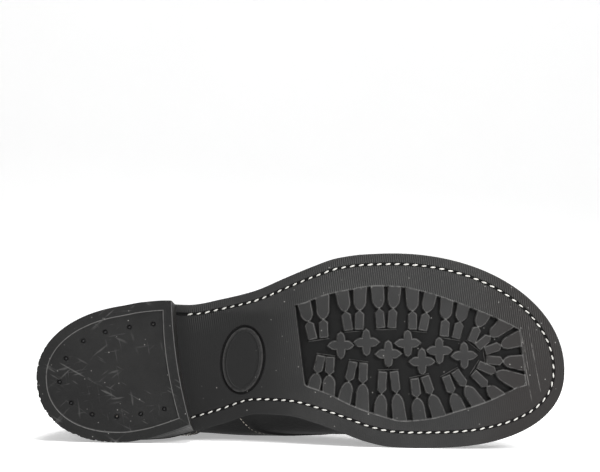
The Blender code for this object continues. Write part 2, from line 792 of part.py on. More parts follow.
def column_at(ring, around):
    """Column of the upper's grid, counted from the back, for a place round a ring."""
    seam = seam_around(QUARTER_SEAM, ring)
    start = seam + SEAM_RUN
    if around <= seam:
        return COLUMNS_BEHIND_SEAM * around / seam
    if around <= start:
        return COLUMNS_BEHIND_SEAM + (around - seam) / SEAM_RUN
    return COLUMNS_BEHIND_SEAM + 1 + COLUMNS_IN_FRONT * (around - start) / (1 - start)


def around_at(ring, column):
    """Place round a ring of a column of the upper's grid, the inverse of column_at."""
    half = around_columns(ring)[COLUMNS_BEHIND_SEAM + 1 + COLUMNS_IN_FRONT:]
    near = min(int(column), len(half) - 2)
    return half[near] + (half[near + 1] - half[near]) * (column - near)


def on_upper(ring, around, lift):
    """A point off the upper's own triangles, at a place between its rows and columns."""
    side = 1 if around >= 0 else -1
    middle = COLUMNS_BEHIND_SEAM + 1 + COLUMNS_IN_FRONT
    across = middle + side * column_at(ring, abs(around))
    near = min(int(across), 2 * middle - 1)
    over = across - near
    low = max(row for row in UPPER_ROWS if row <= ring)
    high = min(row for row in UPPER_ROWS if row >= ring)
    up = (ring - low) / (high - low) if high > low else 0.0
    corners = [(low, near, 1 - max(over, up)), (high, near + 1, min(over, up))]
    corners.append((low, near + 1, over - up) if over > up else (high, near, up - over))
    point, out = Vector(), Vector()
    for row, index, share in corners:
        points, _, directions = upper_row(row)
        point += points[index] * share
        out += directions[index] * share
    return point + out.normalized() * lift


def overlay(name, grid, finish):
    """A layer of leather just off the upper, through places given by ring and way round."""
    outer = [[on_upper(ring, around, OVERLAY_GAP + OVERLAY) for ring, around in row] for row in grid]
    inner = [[on_upper(ring, around, OVERLAY_GAP) for ring, around in row] for row in grid]
    return sheet(name, outer, inner, finish, sharp=UPPER_SHARP)


def build_tongue(finish):
    """A curved sheet under the throat, from inside the vamp to above the collar."""
    outer, inner = [], []
    for row in TONGUE_EDGE:
        line = []
        for j in range(TONGUE_COLUMNS):
            across = 2 * j / (TONGUE_COLUMNS - 1) - 1
            line.append((1 - row.share * abs(across)) * (1 if across >= 0 else -1))
        outer.append([shifted(row.ring, around, -WALL - TONGUE_CLEARANCE, True) for around in line])
        inner.append([shifted(row.ring, around, -WALL - TONGUE_CLEARANCE - TONGUE, True) for around in line])
    return sheet("tongue", outer, inner, finish)


def counter_column(ring):
    """Column of the upper's grid where the counter's edge runs."""
    return column_at(ring, seam_around(COUNTER_TOP, ring))


def counter_rows():
    """Rows of the upper behind the counter, and those where its edge crosses a column."""
    top = COUNTER_TOP[-1].ring
    rows = [ring for ring in UPPER_ROWS if ring < top] + [top]
    for column in range(1, int(counter_column(0)) + 1):
        rows.append(last_above(counter_column, column, 0.0, top))
    return sorted(rows)


def build_counter(finish):
    """Outer counter: wraps the heel and drops to the welt in front."""
    grid = []
    for ring in counter_rows():
        edge = counter_column(ring)
        half = [around_at(ring, min(i, edge)) for i in range(COLUMNS_BEHIND_SEAM + 1)]
        grid.append([(ring, around) for around in [-a for a in half[:0:-1]] + half])
    return overlay("heel_counter", grid, finish)


def beside_throat(ring, side, distance):
    """Place round a ring at a distance behind the eyestay's front edge."""
    near, far = 0.90, 0.99
    length = (surface(ring, side * near) - surface(ring, side * far)).length / (far - near)
    return side * (STAY_EDGE - distance / length)


def build_eyestay(name, side, finish):
    """Strip along the throat's edge that carries the eyelets."""
    edges = []
    for ring in STAY_ROWS:
        rear, front = (column_at(ring, abs(beside_throat(ring, side, x))) for x in (STAY_WIDTH, 0.0))
        edges.append((ring, rear, front))
    columns = range(int(min(rear for _, rear, _ in edges)), int(max(front for *_, front in edges)) + 2)
    grid = []
    for ring, rear, front in edges:
        row = [(ring, side * around_at(ring, min(max(column, rear), front))) for column in columns]
        grid.append(row[::side])
    return overlay(name, grid, finish)


def eyelet_rings():
    step = (EYELET_RING_LAST - EYELET_RING_FIRST) / (EYELET_PAIRS - 1)
    return [EYELET_RING_FIRST + step * i for i in range(EYELET_PAIRS)]


def eyelet_place(ring, side):
    """Centre and outward direction of an eyelet on its eyestay."""
    around = beside_throat(ring, side, STAY_WIDTH / 2)
    height = QUARTER_STEP + OVERLAY_GAP + OVERLAY + EYELET_SEAT
    return shifted(ring, around, height), surface_normal(ring, around)


def build_eyelet(name, ring, side, finish):
    """A round flanged eyelet lying on the eyestay."""
    centre, normal = eyelet_place(ring, side)
    turn = Vector((0, 0, 1)).rotation_difference(normal).to_matrix()
    profile = [(EYELET_HOLE, 0.0), (EYELET_HOLE, EYELET_HEIGHT), (EYELET_CROWN, EYELET_HEIGHT),
               (EYELET_RADIUS, 0.0)]
    steps = EYELET_STEPS
    vertices, faces = [], []
    for i in range(steps):
        angle = 2 * pi * i / steps
        for radius, height in profile:
            vertices.append(centre + turn @ Vector((radius * cos(angle), radius * sin(angle), height)))
    count = len(profile)
    for i in range(steps):
        for j in range(count):
            a, b = i * count + j, i * count + (j + 1) % count
            c, d = (i + 1) % steps * count + (j + 1) % count, (i + 1) % steps * count + j
            faces.append((a, b, c, d))
    return add_object(name, vertices, faces, finish)


def lace_path(low, high, side):
    """Points of one crossing, from a ring's eyelet over the ridge to the other side's eyelet."""
    points = []
    for i in range(LACE_STEPS + 1):
        t = i / LACE_STEPS
        along = low + (high - low) * t
        beside = side if t < 0.5 else -side
        share = share_at(along, beside_throat(along, beside, STAY_WIDTH / 2), beside, False)
        far = abs(2 * t - 1)
        around = 1 - (1 - acos(1 - 2 * share) / pi) * far
        height = LACE_OVER_TONGUE + (LACE_OVER_EYELET - LACE_OVER_TONGUE) * far**LACE_RISE_POWER
        points.append(shifted(along, beside * around, height, True))
    return points


def lace_tube(path):
    """A cord along a path, with flat ends."""
    sides = LACE_SIDES
    last = len(path) - 1
    vertices, faces = [], []
    for i, point in enumerate(path):
        before, after = path[max(i - 1, 0)], path[min(i + 1, last)]
        turn = Vector((0, 0, 1)).rotation_difference((after - before).normalized()).to_matrix()
        for j in range(sides):
            angle = 2 * pi * (j + 0.5) / sides
            vertices.append(point + turn @ Vector((LACE_RADIUS * cos(angle), LACE_RADIUS * sin(angle), 0)))
    for i in range(last):
        for j in range(sides):
            n = (j + 1) % sides
            faces.append((i * sides + j, i * sides + n, (i + 1) * sides + n, (i + 1) * sides + j))
    faces.append(list(range(sides))[::-1])
    faces.append([last * sides + j for j in range(sides)])
    return vertices, faces


def build_lace(finish):
    """Crossed lacing from pair to pair, joined where the cords cross and where they meet."""
    rings = eyelet_rings()
    pieces = [lace_tube(lace_path(rings[0], rings[0], 1))]
    for low, high in zip(rings, rings[1:]):
        for side in (-1, 1):
            pieces.append(lace_tube(lace_path(low, high, side)))
    lace = None
    for number, (vertices, faces) in enumerate(pieces):
        cord = add_object("cord_%02d" % number, vertices, faces, finish)
        if lace is None:
            lace = cord
            continue
        join = lace.modifiers.new("join", "BOOLEAN")
        join.operation = "UNION"
        join.solver = "EXACT"
        join.object = cord
        joined = bpy.data.meshes.new_from_object(lace.evaluated_get(bpy.context.evaluated_depsgraph_get()))
        lace.modifiers.clear()
        lace.data = joined
        bpy.data.objects.remove(cord)
    lace.name = "lace"
    return lace


def lay_down(pieces):
    """Turn the standing boot on its inner side, down on its ball, its heel and its shaft."""
    cloud = [vertex.co.copy() for piece in pieces for vertex in piece.data.vertices]
    regions = (
        [p for p in cloud if p.x > SOLE_LENGTH / 2 and p.z < INSTEP_HEIGHT],
        [p for p in cloud if p.x < BREAST and p.z < INSTEP_HEIGHT],
        [p for p in cloud if p.z > (INSTEP_HEIGHT + COLLAR_HEIGHT) / 2],
    )
    turn = Matrix.Rotation(-pi / 2, 3, "X")
    for _ in range(SETTLING_ROUNDS):
        ball, heel, shaft = (min((turn @ p for p in region), key=lambda p: p.z) for region in regions)
        normal = (ball - heel).cross(shaft - heel).normalized()
        if normal.z < 0:
            normal.negate()
        turn = normal.rotation_difference(Vector((0, 0, 1))).to_matrix() @ turn
    placed = [turn @ p for p in cloud]
    low = Vector([min(p[i] for p in placed) for i in range(3)])
    high = Vector([max(p[i] for p in placed) for i in range(3)])
    move = Matrix.Translation(Vector((-(low.x + high.x) / 2, -(low.y + high.y) / 2, -low.z)))
    return move @ turn.to_4x4()


def main():
    for old in list(bpy.data.objects):
        bpy.data.objects.remove(old)
    rubber = material("rubber_sole", (0.035, 0.035, 0.036), 0.62)
    leather = material("black_leather", (0.012, 0.012, 0.012), 0.42)
    edge = material("edge_leather", (0.016, 0.015, 0.015), 0.55)
    board = material("insole_leather", (0.42, 0.28, 0.17), 0.75)
    metal = material("eyelet_metal", (0.05, 0.05, 0.052), 0.35, 0.9)
    cord = material("lace_cord", (0.02, 0.02, 0.02), 0.8)
    pieces = [
        build_outsole(rubber),
        build_welt(edge),
        build_heel_block(edge),
        build_top_lift(rubber),
        plate(
            "insole", WELT_INSET + WELT_GRIP + GAP,
            lambda x: tread_height(x) + OUTSOLE + GAP,
            lambda x: tread_height(x) + OUTSOLE + GAP + INSOLE, board,
        ),
        build_upper(leather),
        build_tongue(leather),
        build_counter(leather),
        build_eyestay("eyestay_lateral", -1, leather),
        build_eyestay("eyestay_medial", 1, leather),
    ]
    for number, ring in enumerate(eyelet_rings(), 1):
        for word, side in (("lateral", -1), ("medial", 1)):
            pieces.append(build_eyelet("eyelet_%s_%d" % (word, number), ring, side, metal))
    pieces.append(build_lace(cord))
    boot = bpy.data.objects.new("boot", None)
    bpy.context.scene.collection.objects.link(boot)
    for piece in pieces:
        piece.parent = boot
    boot.matrix_world = lay_down(pieces)


main()
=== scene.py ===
import json
import bpy
import bmesh
import numpy as np
from collections import namedtuple
from functools import lru_cache
from math import atan2, cos, pi, radians, sin
from mathutils import Matrix, Vector, noise
from mathutils.geometry import delaunay_2d_cdt

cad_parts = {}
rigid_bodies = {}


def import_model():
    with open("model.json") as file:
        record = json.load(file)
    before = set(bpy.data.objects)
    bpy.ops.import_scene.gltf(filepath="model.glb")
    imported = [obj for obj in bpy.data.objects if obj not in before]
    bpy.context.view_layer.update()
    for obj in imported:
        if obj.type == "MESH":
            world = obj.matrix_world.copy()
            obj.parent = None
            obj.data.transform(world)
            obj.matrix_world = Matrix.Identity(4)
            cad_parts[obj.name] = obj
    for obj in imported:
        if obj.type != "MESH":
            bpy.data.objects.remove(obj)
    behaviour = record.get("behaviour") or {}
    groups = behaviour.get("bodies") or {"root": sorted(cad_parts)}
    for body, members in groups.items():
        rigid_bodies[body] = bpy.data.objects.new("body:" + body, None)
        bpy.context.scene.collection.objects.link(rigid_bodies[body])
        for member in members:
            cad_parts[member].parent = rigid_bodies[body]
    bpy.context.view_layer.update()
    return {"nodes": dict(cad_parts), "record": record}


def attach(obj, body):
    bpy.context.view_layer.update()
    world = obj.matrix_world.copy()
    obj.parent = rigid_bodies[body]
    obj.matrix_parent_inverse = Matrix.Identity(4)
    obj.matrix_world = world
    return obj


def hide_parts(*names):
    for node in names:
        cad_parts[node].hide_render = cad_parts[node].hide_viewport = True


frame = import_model()
print("frame loaded")

mm = 0.001

# The boot is worked out standing, as the last is: x from heel to toe, y to the inner side, z up.
boot = {
    "length": 0.300, "ballWidth": 0.1101, "heelHeight": 0.027, "toeSpring": 0.013,
    "instep": 0.097, "collar": 0.190, "ankleWidth": 0.069, "ankleLateral": 0.53,
    "outsole": 6.5 * mm, "welt": 3.8 * mm, "gap": 0.3 * mm, "feather": 0.9 * mm,
    "arch": (0.297, 0.625), "springStart": 0.755, "springPower": 1.8,
    "heelRound": 0.060, "heelPowerInner": 2.2,
    "toeRoundOuter": 0.100, "toeRoundInner": 0.075, "toePowerInner": 2.3,
}


def table(columns, rows):
    row = namedtuple("row", columns)
    return [row(*values) for values in rows]


# along is a share of the sole's length, the others are shares of the ball's width
soleRows = table("along outer inner ledge", [
    (0.000, 0.366, 0.338, 0.034), (0.160, 0.368, 0.340, 0.034), (0.230, 0.374, 0.335, 0.034),
    (0.285, 0.366, 0.305, 0.034), (0.350, 0.394, 0.258, 0.036), (0.410, 0.430, 0.212, 0.038),
    (0.470, 0.493, 0.220, 0.042), (0.520, 0.545, 0.256, 0.050), (0.570, 0.588, 0.306, 0.060),
    (0.620, 0.604, 0.358, 0.066), (0.665, 0.607, 0.385, 0.068), (0.715, 0.607, 0.393, 0.068),
    (1.000, 0.607, 0.393, 0.068),
])


def smoothTable(rows, key, column, at):
    # a table's column at any place, through its rows and without overshoot
    xs = [getattr(row, key) for row in rows]
    ys = [getattr(row, column) for row in rows]
    if at <= xs[0]:
        return ys[0]
    if at >= xs[-1]:
        return ys[-1]
    slopes = [(ys[i + 1] - ys[i]) / (xs[i + 1] - xs[i]) for i in range(len(xs) - 1)]
    tangents = [slopes[0]]
    for before, after in zip(slopes, slopes[1:]):
        tangents.append(0.0 if before * after <= 0 else 2 * before * after / (before + after))
    tangents.append(slopes[-1])
    i = max(k for k in range(len(xs) - 1) if xs[k] <= at)
    step = xs[i + 1] - xs[i]
    t = (at - xs[i]) / step
    return (ys[i] * (2 * t**3 - 3 * t**2 + 1) + tangents[i] * step * (t**3 - 2 * t**2 + t)
            + ys[i + 1] * (3 * t**2 - 2 * t**3) + tangents[i + 1] * step * (t**3 - t**2))


def roundEnd(distance, reach, power=2.0):
    if distance >= reach:
        return 1.0
    return (1 - (1 - max(distance, 0.0) / reach) ** power) ** (1 / power)


def soleHalfWidths(x, inset=0.0):
    share = x / boot["length"]
    heel, toe = x - inset, boot["length"] - inset - x
    outer = smoothTable(soleRows, "along", "outer", share) * boot["ballWidth"] - inset
    inner = smoothTable(soleRows, "along", "inner", share) * boot["ballWidth"] - inset
    outer *= roundEnd(heel, boot["heelRound"] - inset) * roundEnd(toe, boot["toeRoundOuter"] - inset)
    inner *= roundEnd(heel, boot["heelRound"] - inset, boot["heelPowerInner"])
    inner *= roundEnd(toe, boot["toeRoundInner"] - inset, boot["toePowerInner"])
    return outer, inner


def treadHeight(x):
    start, end = (share * boot["length"] for share in boot["arch"])
    spring = boot["springStart"] * boot["length"]
    if x <= start:
        return boot["heelHeight"]
    if x < end:
        s = (x - start) / (end - start)
        return boot["heelHeight"] * (1 - s) ** 2 * (1 + 2 * s)
    if x <= spring:
        return 0.0
    return boot["toeSpring"] * ((x - spring) / (boot["length"] - spring)) ** boot["springPower"]


def stations(inset=0.0, heelSteps=26, middleSteps=44, toeSteps=34):
    heel, toe = boot["heelRound"] - inset, boot["toeRoundOuter"] - inset
    places = [inset + heel * (1 - cos(pi / 2 * i / heelSteps)) for i in range(heelSteps + 1)]
    start, end = places[-1], boot["length"] - inset - toe
    places += [start + (end - start) * i / middleSteps for i in range(1, middleSteps)]
    ends = [toe * (1 - cos(pi / 2 * i / toeSteps)) for i in range(toeSteps, -1, -1)]
    return places + [boot["length"] - inset - end for end in ends]


def soleOutline(inset=0.0):
    places = stations(inset)
    outer = [(x, -soleHalfWidths(x, inset)[0]) for x in places]
    inner = [(x, soleHalfWidths(x, inset)[1]) for x in places[1:-1]]
    return outer + inner[::-1]


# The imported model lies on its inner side: two points of its tread and their axis give the turn.
def layDownMatrix():
    marks = {mount["name"]: mount for mount in frame["record"]["mounts"]}
    heel, ball = Vector(marks["heel_tread"]["pos_m"]), Vector(marks["forefoot_tread"]["pos_m"])
    down = Vector(marks["heel_tread"]["axis"])
    own = [Vector((0.0592, -0.0386, 0)), Vector((0.205, -0.058, 0)), Vector((0, 0, -1))]

    def basis(first, second, axis):
        along = (second - first).normalized()
        across = axis.cross(along).normalized()
        return Matrix((along, across, along.cross(across))).transposed()

    turn = basis(heel, ball, down) @ basis(*own).transposed()
    return Matrix.Translation(heel - turn @ own[0]) @ turn.to_4x4()


layDown = layDownMatrix()


def dress(piece, replaced=()):
    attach(piece, "root")
    if replaced:
        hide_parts(*replaced)
    return piece


def finishMesh(mesh, sharp=35.0):
    mesh.transform(layDown)
    mesh.shade_smooth()
    mesh.set_sharp_from_angle(angle=radians(sharp))
    return mesh


def addPiece(name, mesh):
    made = bpy.data.objects.new(name, mesh)
    bpy.context.scene.collection.objects.link(made)
    return made


def setPiece(name, mesh, sharp, replaced=()):
    return dress(addPiece(name, finishMesh(mesh, sharp)), replaced)


def meshOf(name, vertices, faces, finishes, faceFinish=None, merge=2e-6):
    # a mesh that faces outwards; with merge 0 its points keep their order
    mesh = bpy.data.meshes.new(name)
    mesh.from_pydata([tuple(v) for v in vertices], [], faces)
    for finish in finishes:
        mesh.materials.append(finish)
    if faceFinish:
        for face, index in zip(mesh.polygons, faceFinish):
            face.material_index = index
    work = bmesh.new()
    work.from_mesh(mesh)
    if merge:
        bmesh.ops.remove_doubles(work, verts=work.verts, dist=merge)
        bmesh.ops.dissolve_degenerate(work, edges=work.edges, dist=merge / 2)
    bmesh.ops.recalc_face_normals(work, faces=work.faces)
    work.to_mesh(mesh)
    work.free()
    return mesh


# A wrapped socket lets a mask be written as a sum.
class Field:
    def __init__(self, paint, socket):
        self.paint, self.socket = paint, socket

    def join(self, operation, *others):
        made = self.paint.node("ShaderNodeMath", {"operation": operation}, dict(enumerate(others)))
        return Field(self.paint, made.outputs[0])

    def __add__(self, other):
        return self.join("ADD", self, other)

    def __mul__(self, other):
        return self.join("MULTIPLY", self, other)

    def __sub__(self, other):
        return self.join("SUBTRACT", self, other)

    def __rsub__(self, other):
        return self.join("SUBTRACT", other, self)

    __radd__, __rmul__ = __add__, __mul__

    def sine(self):
        return self.join("SINE", self)

    def size(self):
        return self.join("ABSOLUTE", self)

    def most(self, other):
        return self.join("MAXIMUM", self, other)

    def between(self, low, high):
        # 0 at low and below, 1 at high and above, eased between
        made = self.paint.node("ShaderNodeMapRange", {"interpolation_type": "SMOOTHSTEP"},
                               {"Value": self, "From Min": low, "From Max": high})
        return Field(self.paint, made.outputs[0])


class Paint:
    def __init__(self, name, **constants):
        self.material = bpy.data.materials.new(name)
        self.material.use_nodes = True
        self.tree = self.material.node_tree
        self.shader = self.tree.nodes["Principled BSDF"]
        for socket, value in constants.items():
            self.shader.inputs[socket.replace("_", " ")].default_value = value
        self.place = self.node("ShaderNodeTexCoord").outputs["Object"]

    def node(self, kind, settings=None, sockets=None):
        made = self.tree.nodes.new(kind)
        for key, value in (settings or {}).items():
            if key == "stops":
                for element, (at, colour) in zip(made.color_ramp.elements, value):
                    element.position, element.color = at, colour
            else:
                setattr(made, key, value)
        for key, value in (sockets or {}).items():
            self.plug(made, key, value)
        return made

    def plug(self, made, key, value):
        value = value.socket if isinstance(value, Field) else value
        if isinstance(value, bpy.types.NodeSocket):
            self.tree.links.new(value, made.inputs[key])
        else:
            made.inputs[key].default_value = value

    def noise(self, scale, detail=3.0, rough=0.5, stretch=None, turn=0.0):
        # stretched, it is long along X, turned in the plane of the sole
        place = self.place
        if stretch:
            sockets = {"Vector": place, "Rotation": (0, turn, 0), "Scale": (stretch, 1, 1)}
            place = self.node("ShaderNodeMapping", {"vector_type": "TEXTURE"}, sockets).outputs[0]
        made = self.node("ShaderNodeTexNoise", None,
                         {"Vector": place, "Scale": scale, "Detail": detail, "Roughness": rough})
        return Field(self, made.outputs["Fac"])

    def cells(self, scale):
        made = self.node("ShaderNodeTexVoronoi", None, {"Vector": self.place, "Scale": scale})
        return Field(self, made.outputs["Distance"])

    def attribute(self, name):
        return Field(self, self.node("ShaderNodeAttribute", {"attribute_name": name}).outputs["Fac"])

    def axis(self, letter):
        return Field(self, self.node("ShaderNodeSeparateXYZ", None, {0: self.place}).outputs[letter])

    def mix(self, share, first, second):
        # the Mix node's sockets 6 and 7 and its output 2 are its colours
        made = self.node("ShaderNodeMix", {"data_type": "RGBA"}, {0: share})
        for index, colour in ((6, first), (7, second)):
            self.plug(made, index, (*colour, 1.0) if isinstance(colour, tuple) else colour)
        return made.outputs[2]

    def colour(self, value):
        self.tree.links.new(value, self.shader.inputs["Base Color"])

    def roughness(self, value):
        self.tree.links.new(value.socket, self.shader.inputs["Roughness"])

    def bumps(self, *layers):
        # each layer is a height, its depth in metres and how strongly it counts
        below = None
        for height, depth, strength in layers:
            sockets = {"Height": height, "Distance": depth, "Strength": strength}
            if below:
                sockets["Normal"] = below
            below = self.node("ShaderNodeBump", None, sockets).outputs[0]
        self.tree.links.new(below, self.shader.inputs["Normal"])


def dustOn(paint, colour, spacing=190, share=0.9):
    # single pale specks, each about half a millimetre
    specks = (1 - paint.cells(spacing).between(0.03, 0.10)) * paint.noise(75, 1).between(0.30, 0.60)
    return paint.mix(specks * share, colour, (0.22, 0.215, 0.205))


def scratchOn(paint, colour, start, end, share=0.5):
    # one straight scratch between two places, given along the sole and up from the floor
    edge, farEdge, fadeIn, fadeOut = 0.10 * mm, 0.34 * mm, 5 * mm, 6 * mm
    reach = Vector(end) - Vector(start)
    length, way = reach.length, reach.normalized()
    x, z = paint.axis("X") - start[0], paint.axis("Z") - start[1]
    along = x * way.x + z * way.y
    off = (z * way.x - x * way.y + paint.noise(40, 1) * 0.8 * mm - 0.4 * mm).size()
    mask = (1 - off.between(edge, farEdge)) * along.between(0, fadeIn)
    mask *= 1 - along.between(length - fadeOut, length)
    return paint.mix(mask * paint.noise(330, 2).between(0.30, 0.55) * share, colour, (0.16, 0.155, 0.15))


def outsoleRubber():
    look = {
        "plain": (0.0165, 0.0165, 0.0165), "cloud": (0.0235, 0.0233, 0.023), "toe": (0.0140, 0.0125, 0.0120),
        "waist": (0.0095, 0.0095, 0.0095), "worn": (0.12, 0.118, 0.115), "sunk": (0.003, 0.003, 0.003),
        "crest": (0.060, 0.060, 0.058), "ribPitch": 1.2 * mm, "ribDepth": 0.22 * mm, "ribLean": radians(8),
    }
    scratches = [((0.1278, 0.0712), (0.1362, 0.0300)), ((0.1240, 0.0665), (0.1290, 0.0430)),
                 ((0.1262, 0.0500), (0.1308, 0.0260))]
    paint = Paint("blackRubber", Roughness=0.6, Specular_IOR_Level=0.2)
    sunk, worn, ribbed = (paint.attribute(name) for name in ("sunk", "worn", "ribbed"))
    x, z = paint.axis("X"), paint.axis("Z")
    clouds = paint.noise(38, 4, 0.6)
    colour = paint.mix(clouds.between(0.35, 0.75), look["plain"], look["cloud"])
    colour = paint.mix(x.between(0.085, 0.125), colour, look["toe"])
    # painted shade: the waist near the heel is painted darker, where the arch curves up away from the light
    colour = paint.mix((1 - x.between(-0.035, 0.012)) * (1 - z.between(0.072, 0.079)), colour, look["waist"])
    lean = x * cos(look["ribLean"]) + z * sin(look["ribLean"])
    ribs = (lean * (2 * pi / look["ribPitch"]) + paint.noise(25, 2) * 2.5).sine() * ribbed
    # painted highlight: the crests of the fine ribs are painted paler
    colour = paint.mix(ribs.between(0.0, 0.9) * 0.6, colour, look["crest"])
    # painted shade: the sunk floors of the tread panel, the stitch groove and the plate's trench are painted near black
    colour = paint.mix(sunk.between(0.5, 1.0) * 0.95, colour, look["sunk"])
    # paler edges: partly wear, partly painted highlight where the edges catch the light
    colour = paint.mix(worn * paint.noise(260, 3, 0.6).between(0.25, 0.55) * 0.75, colour, look["worn"])
    for start, end in scratches:
        colour = scratchOn(paint, colour, start, end)
    paint.colour(dustOn(paint, colour))
    paint.roughness(0.54 + clouds * 0.16 + sunk * 0.15)
    paint.bumps((ribs, look["ribDepth"], 0.8), (paint.noise(1500, 3, 0.6), 0.05 * mm, 0.35),
                (paint.noise(90, 3, 0.5), 0.25 * mm, 0.25))
    return paint.material


def threadFinish(name, colour):
    paint = Paint(name, Roughness=0.75, Specular_IOR_Level=0.3)
    dirt = paint.noise(420, 3, 0.6)
    paint.colour(paint.mix(dirt.between(0.42, 0.74) * 0.55, colour, tuple(part * 0.42 for part in colour)))
    paint.bumps((paint.noise(2600, 2), 0.08 * mm, 0.6))
    return paint.material


finishes = {
    "outsoleRubber": outsoleRubber(),
    "whiteThread": threadFinish("whiteThread", (0.54, 0.53, 0.50)),
    "paleThread": threadFinish("paleThread", (0.42, 0.39, 0.33)),
}


def heelRubber():
    look = {
        "plain": (0.0050, 0.0050, 0.0050), "cloud": (0.0095, 0.0095, 0.0093), "worn": (0.13, 0.128, 0.125),
        "hole": (0.001, 0.001, 0.001), "scuff": (0.085, 0.084, 0.082),
        # size, direction and strength of the scuffs
        "scuffs": ((520, 0.5, 0.5), (440, -0.75, 0.45), (600, -0.2, 0.4), (480, 1.35, 0.4)),
    }
    paint = Paint("heelRubber", Roughness=0.6, Specular_IOR_Level=0.2)
    worn, sunk = paint.attribute("worn"), paint.attribute("sunk")
    clouds = paint.noise(45, 4, 0.6)
    colour = paint.mix(clouds.between(0.3, 0.75), look["plain"], look["cloud"])
    patches = paint.noise(55, 2).between(0.42, 0.60)
    for scale, turn, strength in look["scuffs"]:
        streaks = paint.noise(scale, 2, 0.5, stretch=9, turn=turn).between(0.63, 0.72)
        colour = paint.mix(streaks * patches * strength, colour, look["scuff"])
    # paler lines: the rim's ridge is partly wear and partly painted highlight, the breast edge is a painted highlight
    colour = paint.mix(worn * paint.noise(300, 2).between(0.15, 0.45) * 0.85, colour, look["worn"])
    # painted shade: the nail holes are painted near black
    colour = paint.mix(sunk, dustOn(paint, colour, 230), look["hole"])
    paint.colour(colour)
    paint.roughness(0.52 + clouds * 0.2)
    paint.bumps((paint.noise(190, 5, 0.65), 0.6 * mm, 0.55), (paint.noise(1400, 3, 0.6), 0.05 * mm, 0.4))
    return paint.material


def blackEdge():
    paint = Paint("blackEdge", Roughness=0.45, Specular_IOR_Level=0.18)
    streaks = paint.noise(60, 4, 0.6)
    colour = paint.mix(streaks.between(0.35, 0.75), (0.012, 0.0115, 0.011), (0.020, 0.019, 0.018))
    colour = paint.mix(paint.noise(420, 3).between(0.64, 0.74) * 0.5, colour, (0.06, 0.056, 0.052))
    paint.colour(colour)
    paint.roughness(0.36 + paint.noise(130, 4) * 0.2)
    paint.bumps((paint.noise(800, 3, 0.6), 0.05 * mm, 0.5))
    return paint.material


def leather(name, dark, light, rough, grain=1.0):
    paint = Paint(name, Roughness=rough, Specular_IOR_Level=0.2)
    clouds = paint.noise(22, 4, 0.6)
    pebbles = paint.cells(620 * grain).between(0.0, 0.75)
    pores = paint.noise(1900 * grain, 3, 0.7)
    colour = paint.mix(clouds.between(0.3, 0.7), dark, light)
    colour = paint.mix((1 - pebbles) * 0.25, colour, tuple(part * 1.35 for part in light))
    paint.colour(colour)
    paint.roughness(rough - 0.06 + clouds * 0.12 + pores * 0.08)
    paint.bumps((pebbles, 0.09 * mm, 0.55), (pores, 0.04 * mm, 0.4),
                (paint.noise(150, 4, 0.6), 0.18 * mm, 0.35))
    return paint.material


def blackMetal():
    paint = Paint("blackMetal", Roughness=0.35, Metallic=0.85)
    chips = paint.noise(700, 3, 0.6).between(0.63, 0.68)
    paint.colour(paint.mix(chips * 0.7, (0.030, 0.030, 0.031), (0.30, 0.27, 0.22)))
    paint.roughness(0.30 + paint.noise(300, 3) * 0.15)
    paint.bumps((paint.noise(900, 2), 0.03 * mm, 0.3))
    return paint.material


def braid():
    look = {"pitch": 2.4 * mm, "strands": 4}
    paint = Paint("braidedCord", Roughness=0.85, Specular_IOR_Level=0.2, Sheen_Weight=0.3)
    along = paint.attribute("alongCord") * (2 * pi / look["pitch"])
    around = paint.attribute("roundCord") * (2 * pi * look["strands"])
    left, right = (along + around).sine(), (along - around).sine()
    strands = left.most(right)
    paint.colour(paint.mix(strands.between(-0.2, 1.0), (0.006, 0.006, 0.006), (0.026, 0.026, 0.027)))
    paint.bumps((strands, 0.25 * mm, 0.7), (paint.noise(2400, 2), 0.05 * mm, 0.5))
    return paint.material


def insoleBoard():
    paint = Paint("footbed", Roughness=0.7, Specular_IOR_Level=0.3)
    worn = paint.noise(30, 4, 0.6)
    paint.colour(paint.mix(worn.between(0.3, 0.7), (0.30, 0.19, 0.10), (0.40, 0.26, 0.15)))
    paint.bumps((paint.noise(900, 3, 0.7), 0.06 * mm, 0.5))
    return paint.material


finishes.update({
    "heelRubber": heelRubber(), "blackEdge": blackEdge(),
    "blackLeather": leather("blackLeather", (0.0045, 0.0045, 0.0045), (0.0075, 0.0075, 0.0075), 0.52),
    "softLeather": leather("softLeather", (0.006, 0.006, 0.006), (0.010, 0.010, 0.010), 0.5, 1.2),
    "lining": leather("lining", (0.20, 0.125, 0.070), (0.27, 0.175, 0.10), 0.62, 0.8),
    "cutEdge": leather("cutEdge", (0.009, 0.009, 0.009), (0.016, 0.015, 0.014), 0.6, 1.5),
    "blackMetal": blackMetal(), "nailSteel": blackMetal(), "braid": braid(), "board": insoleBoard(),
})
print("finishes mixed")


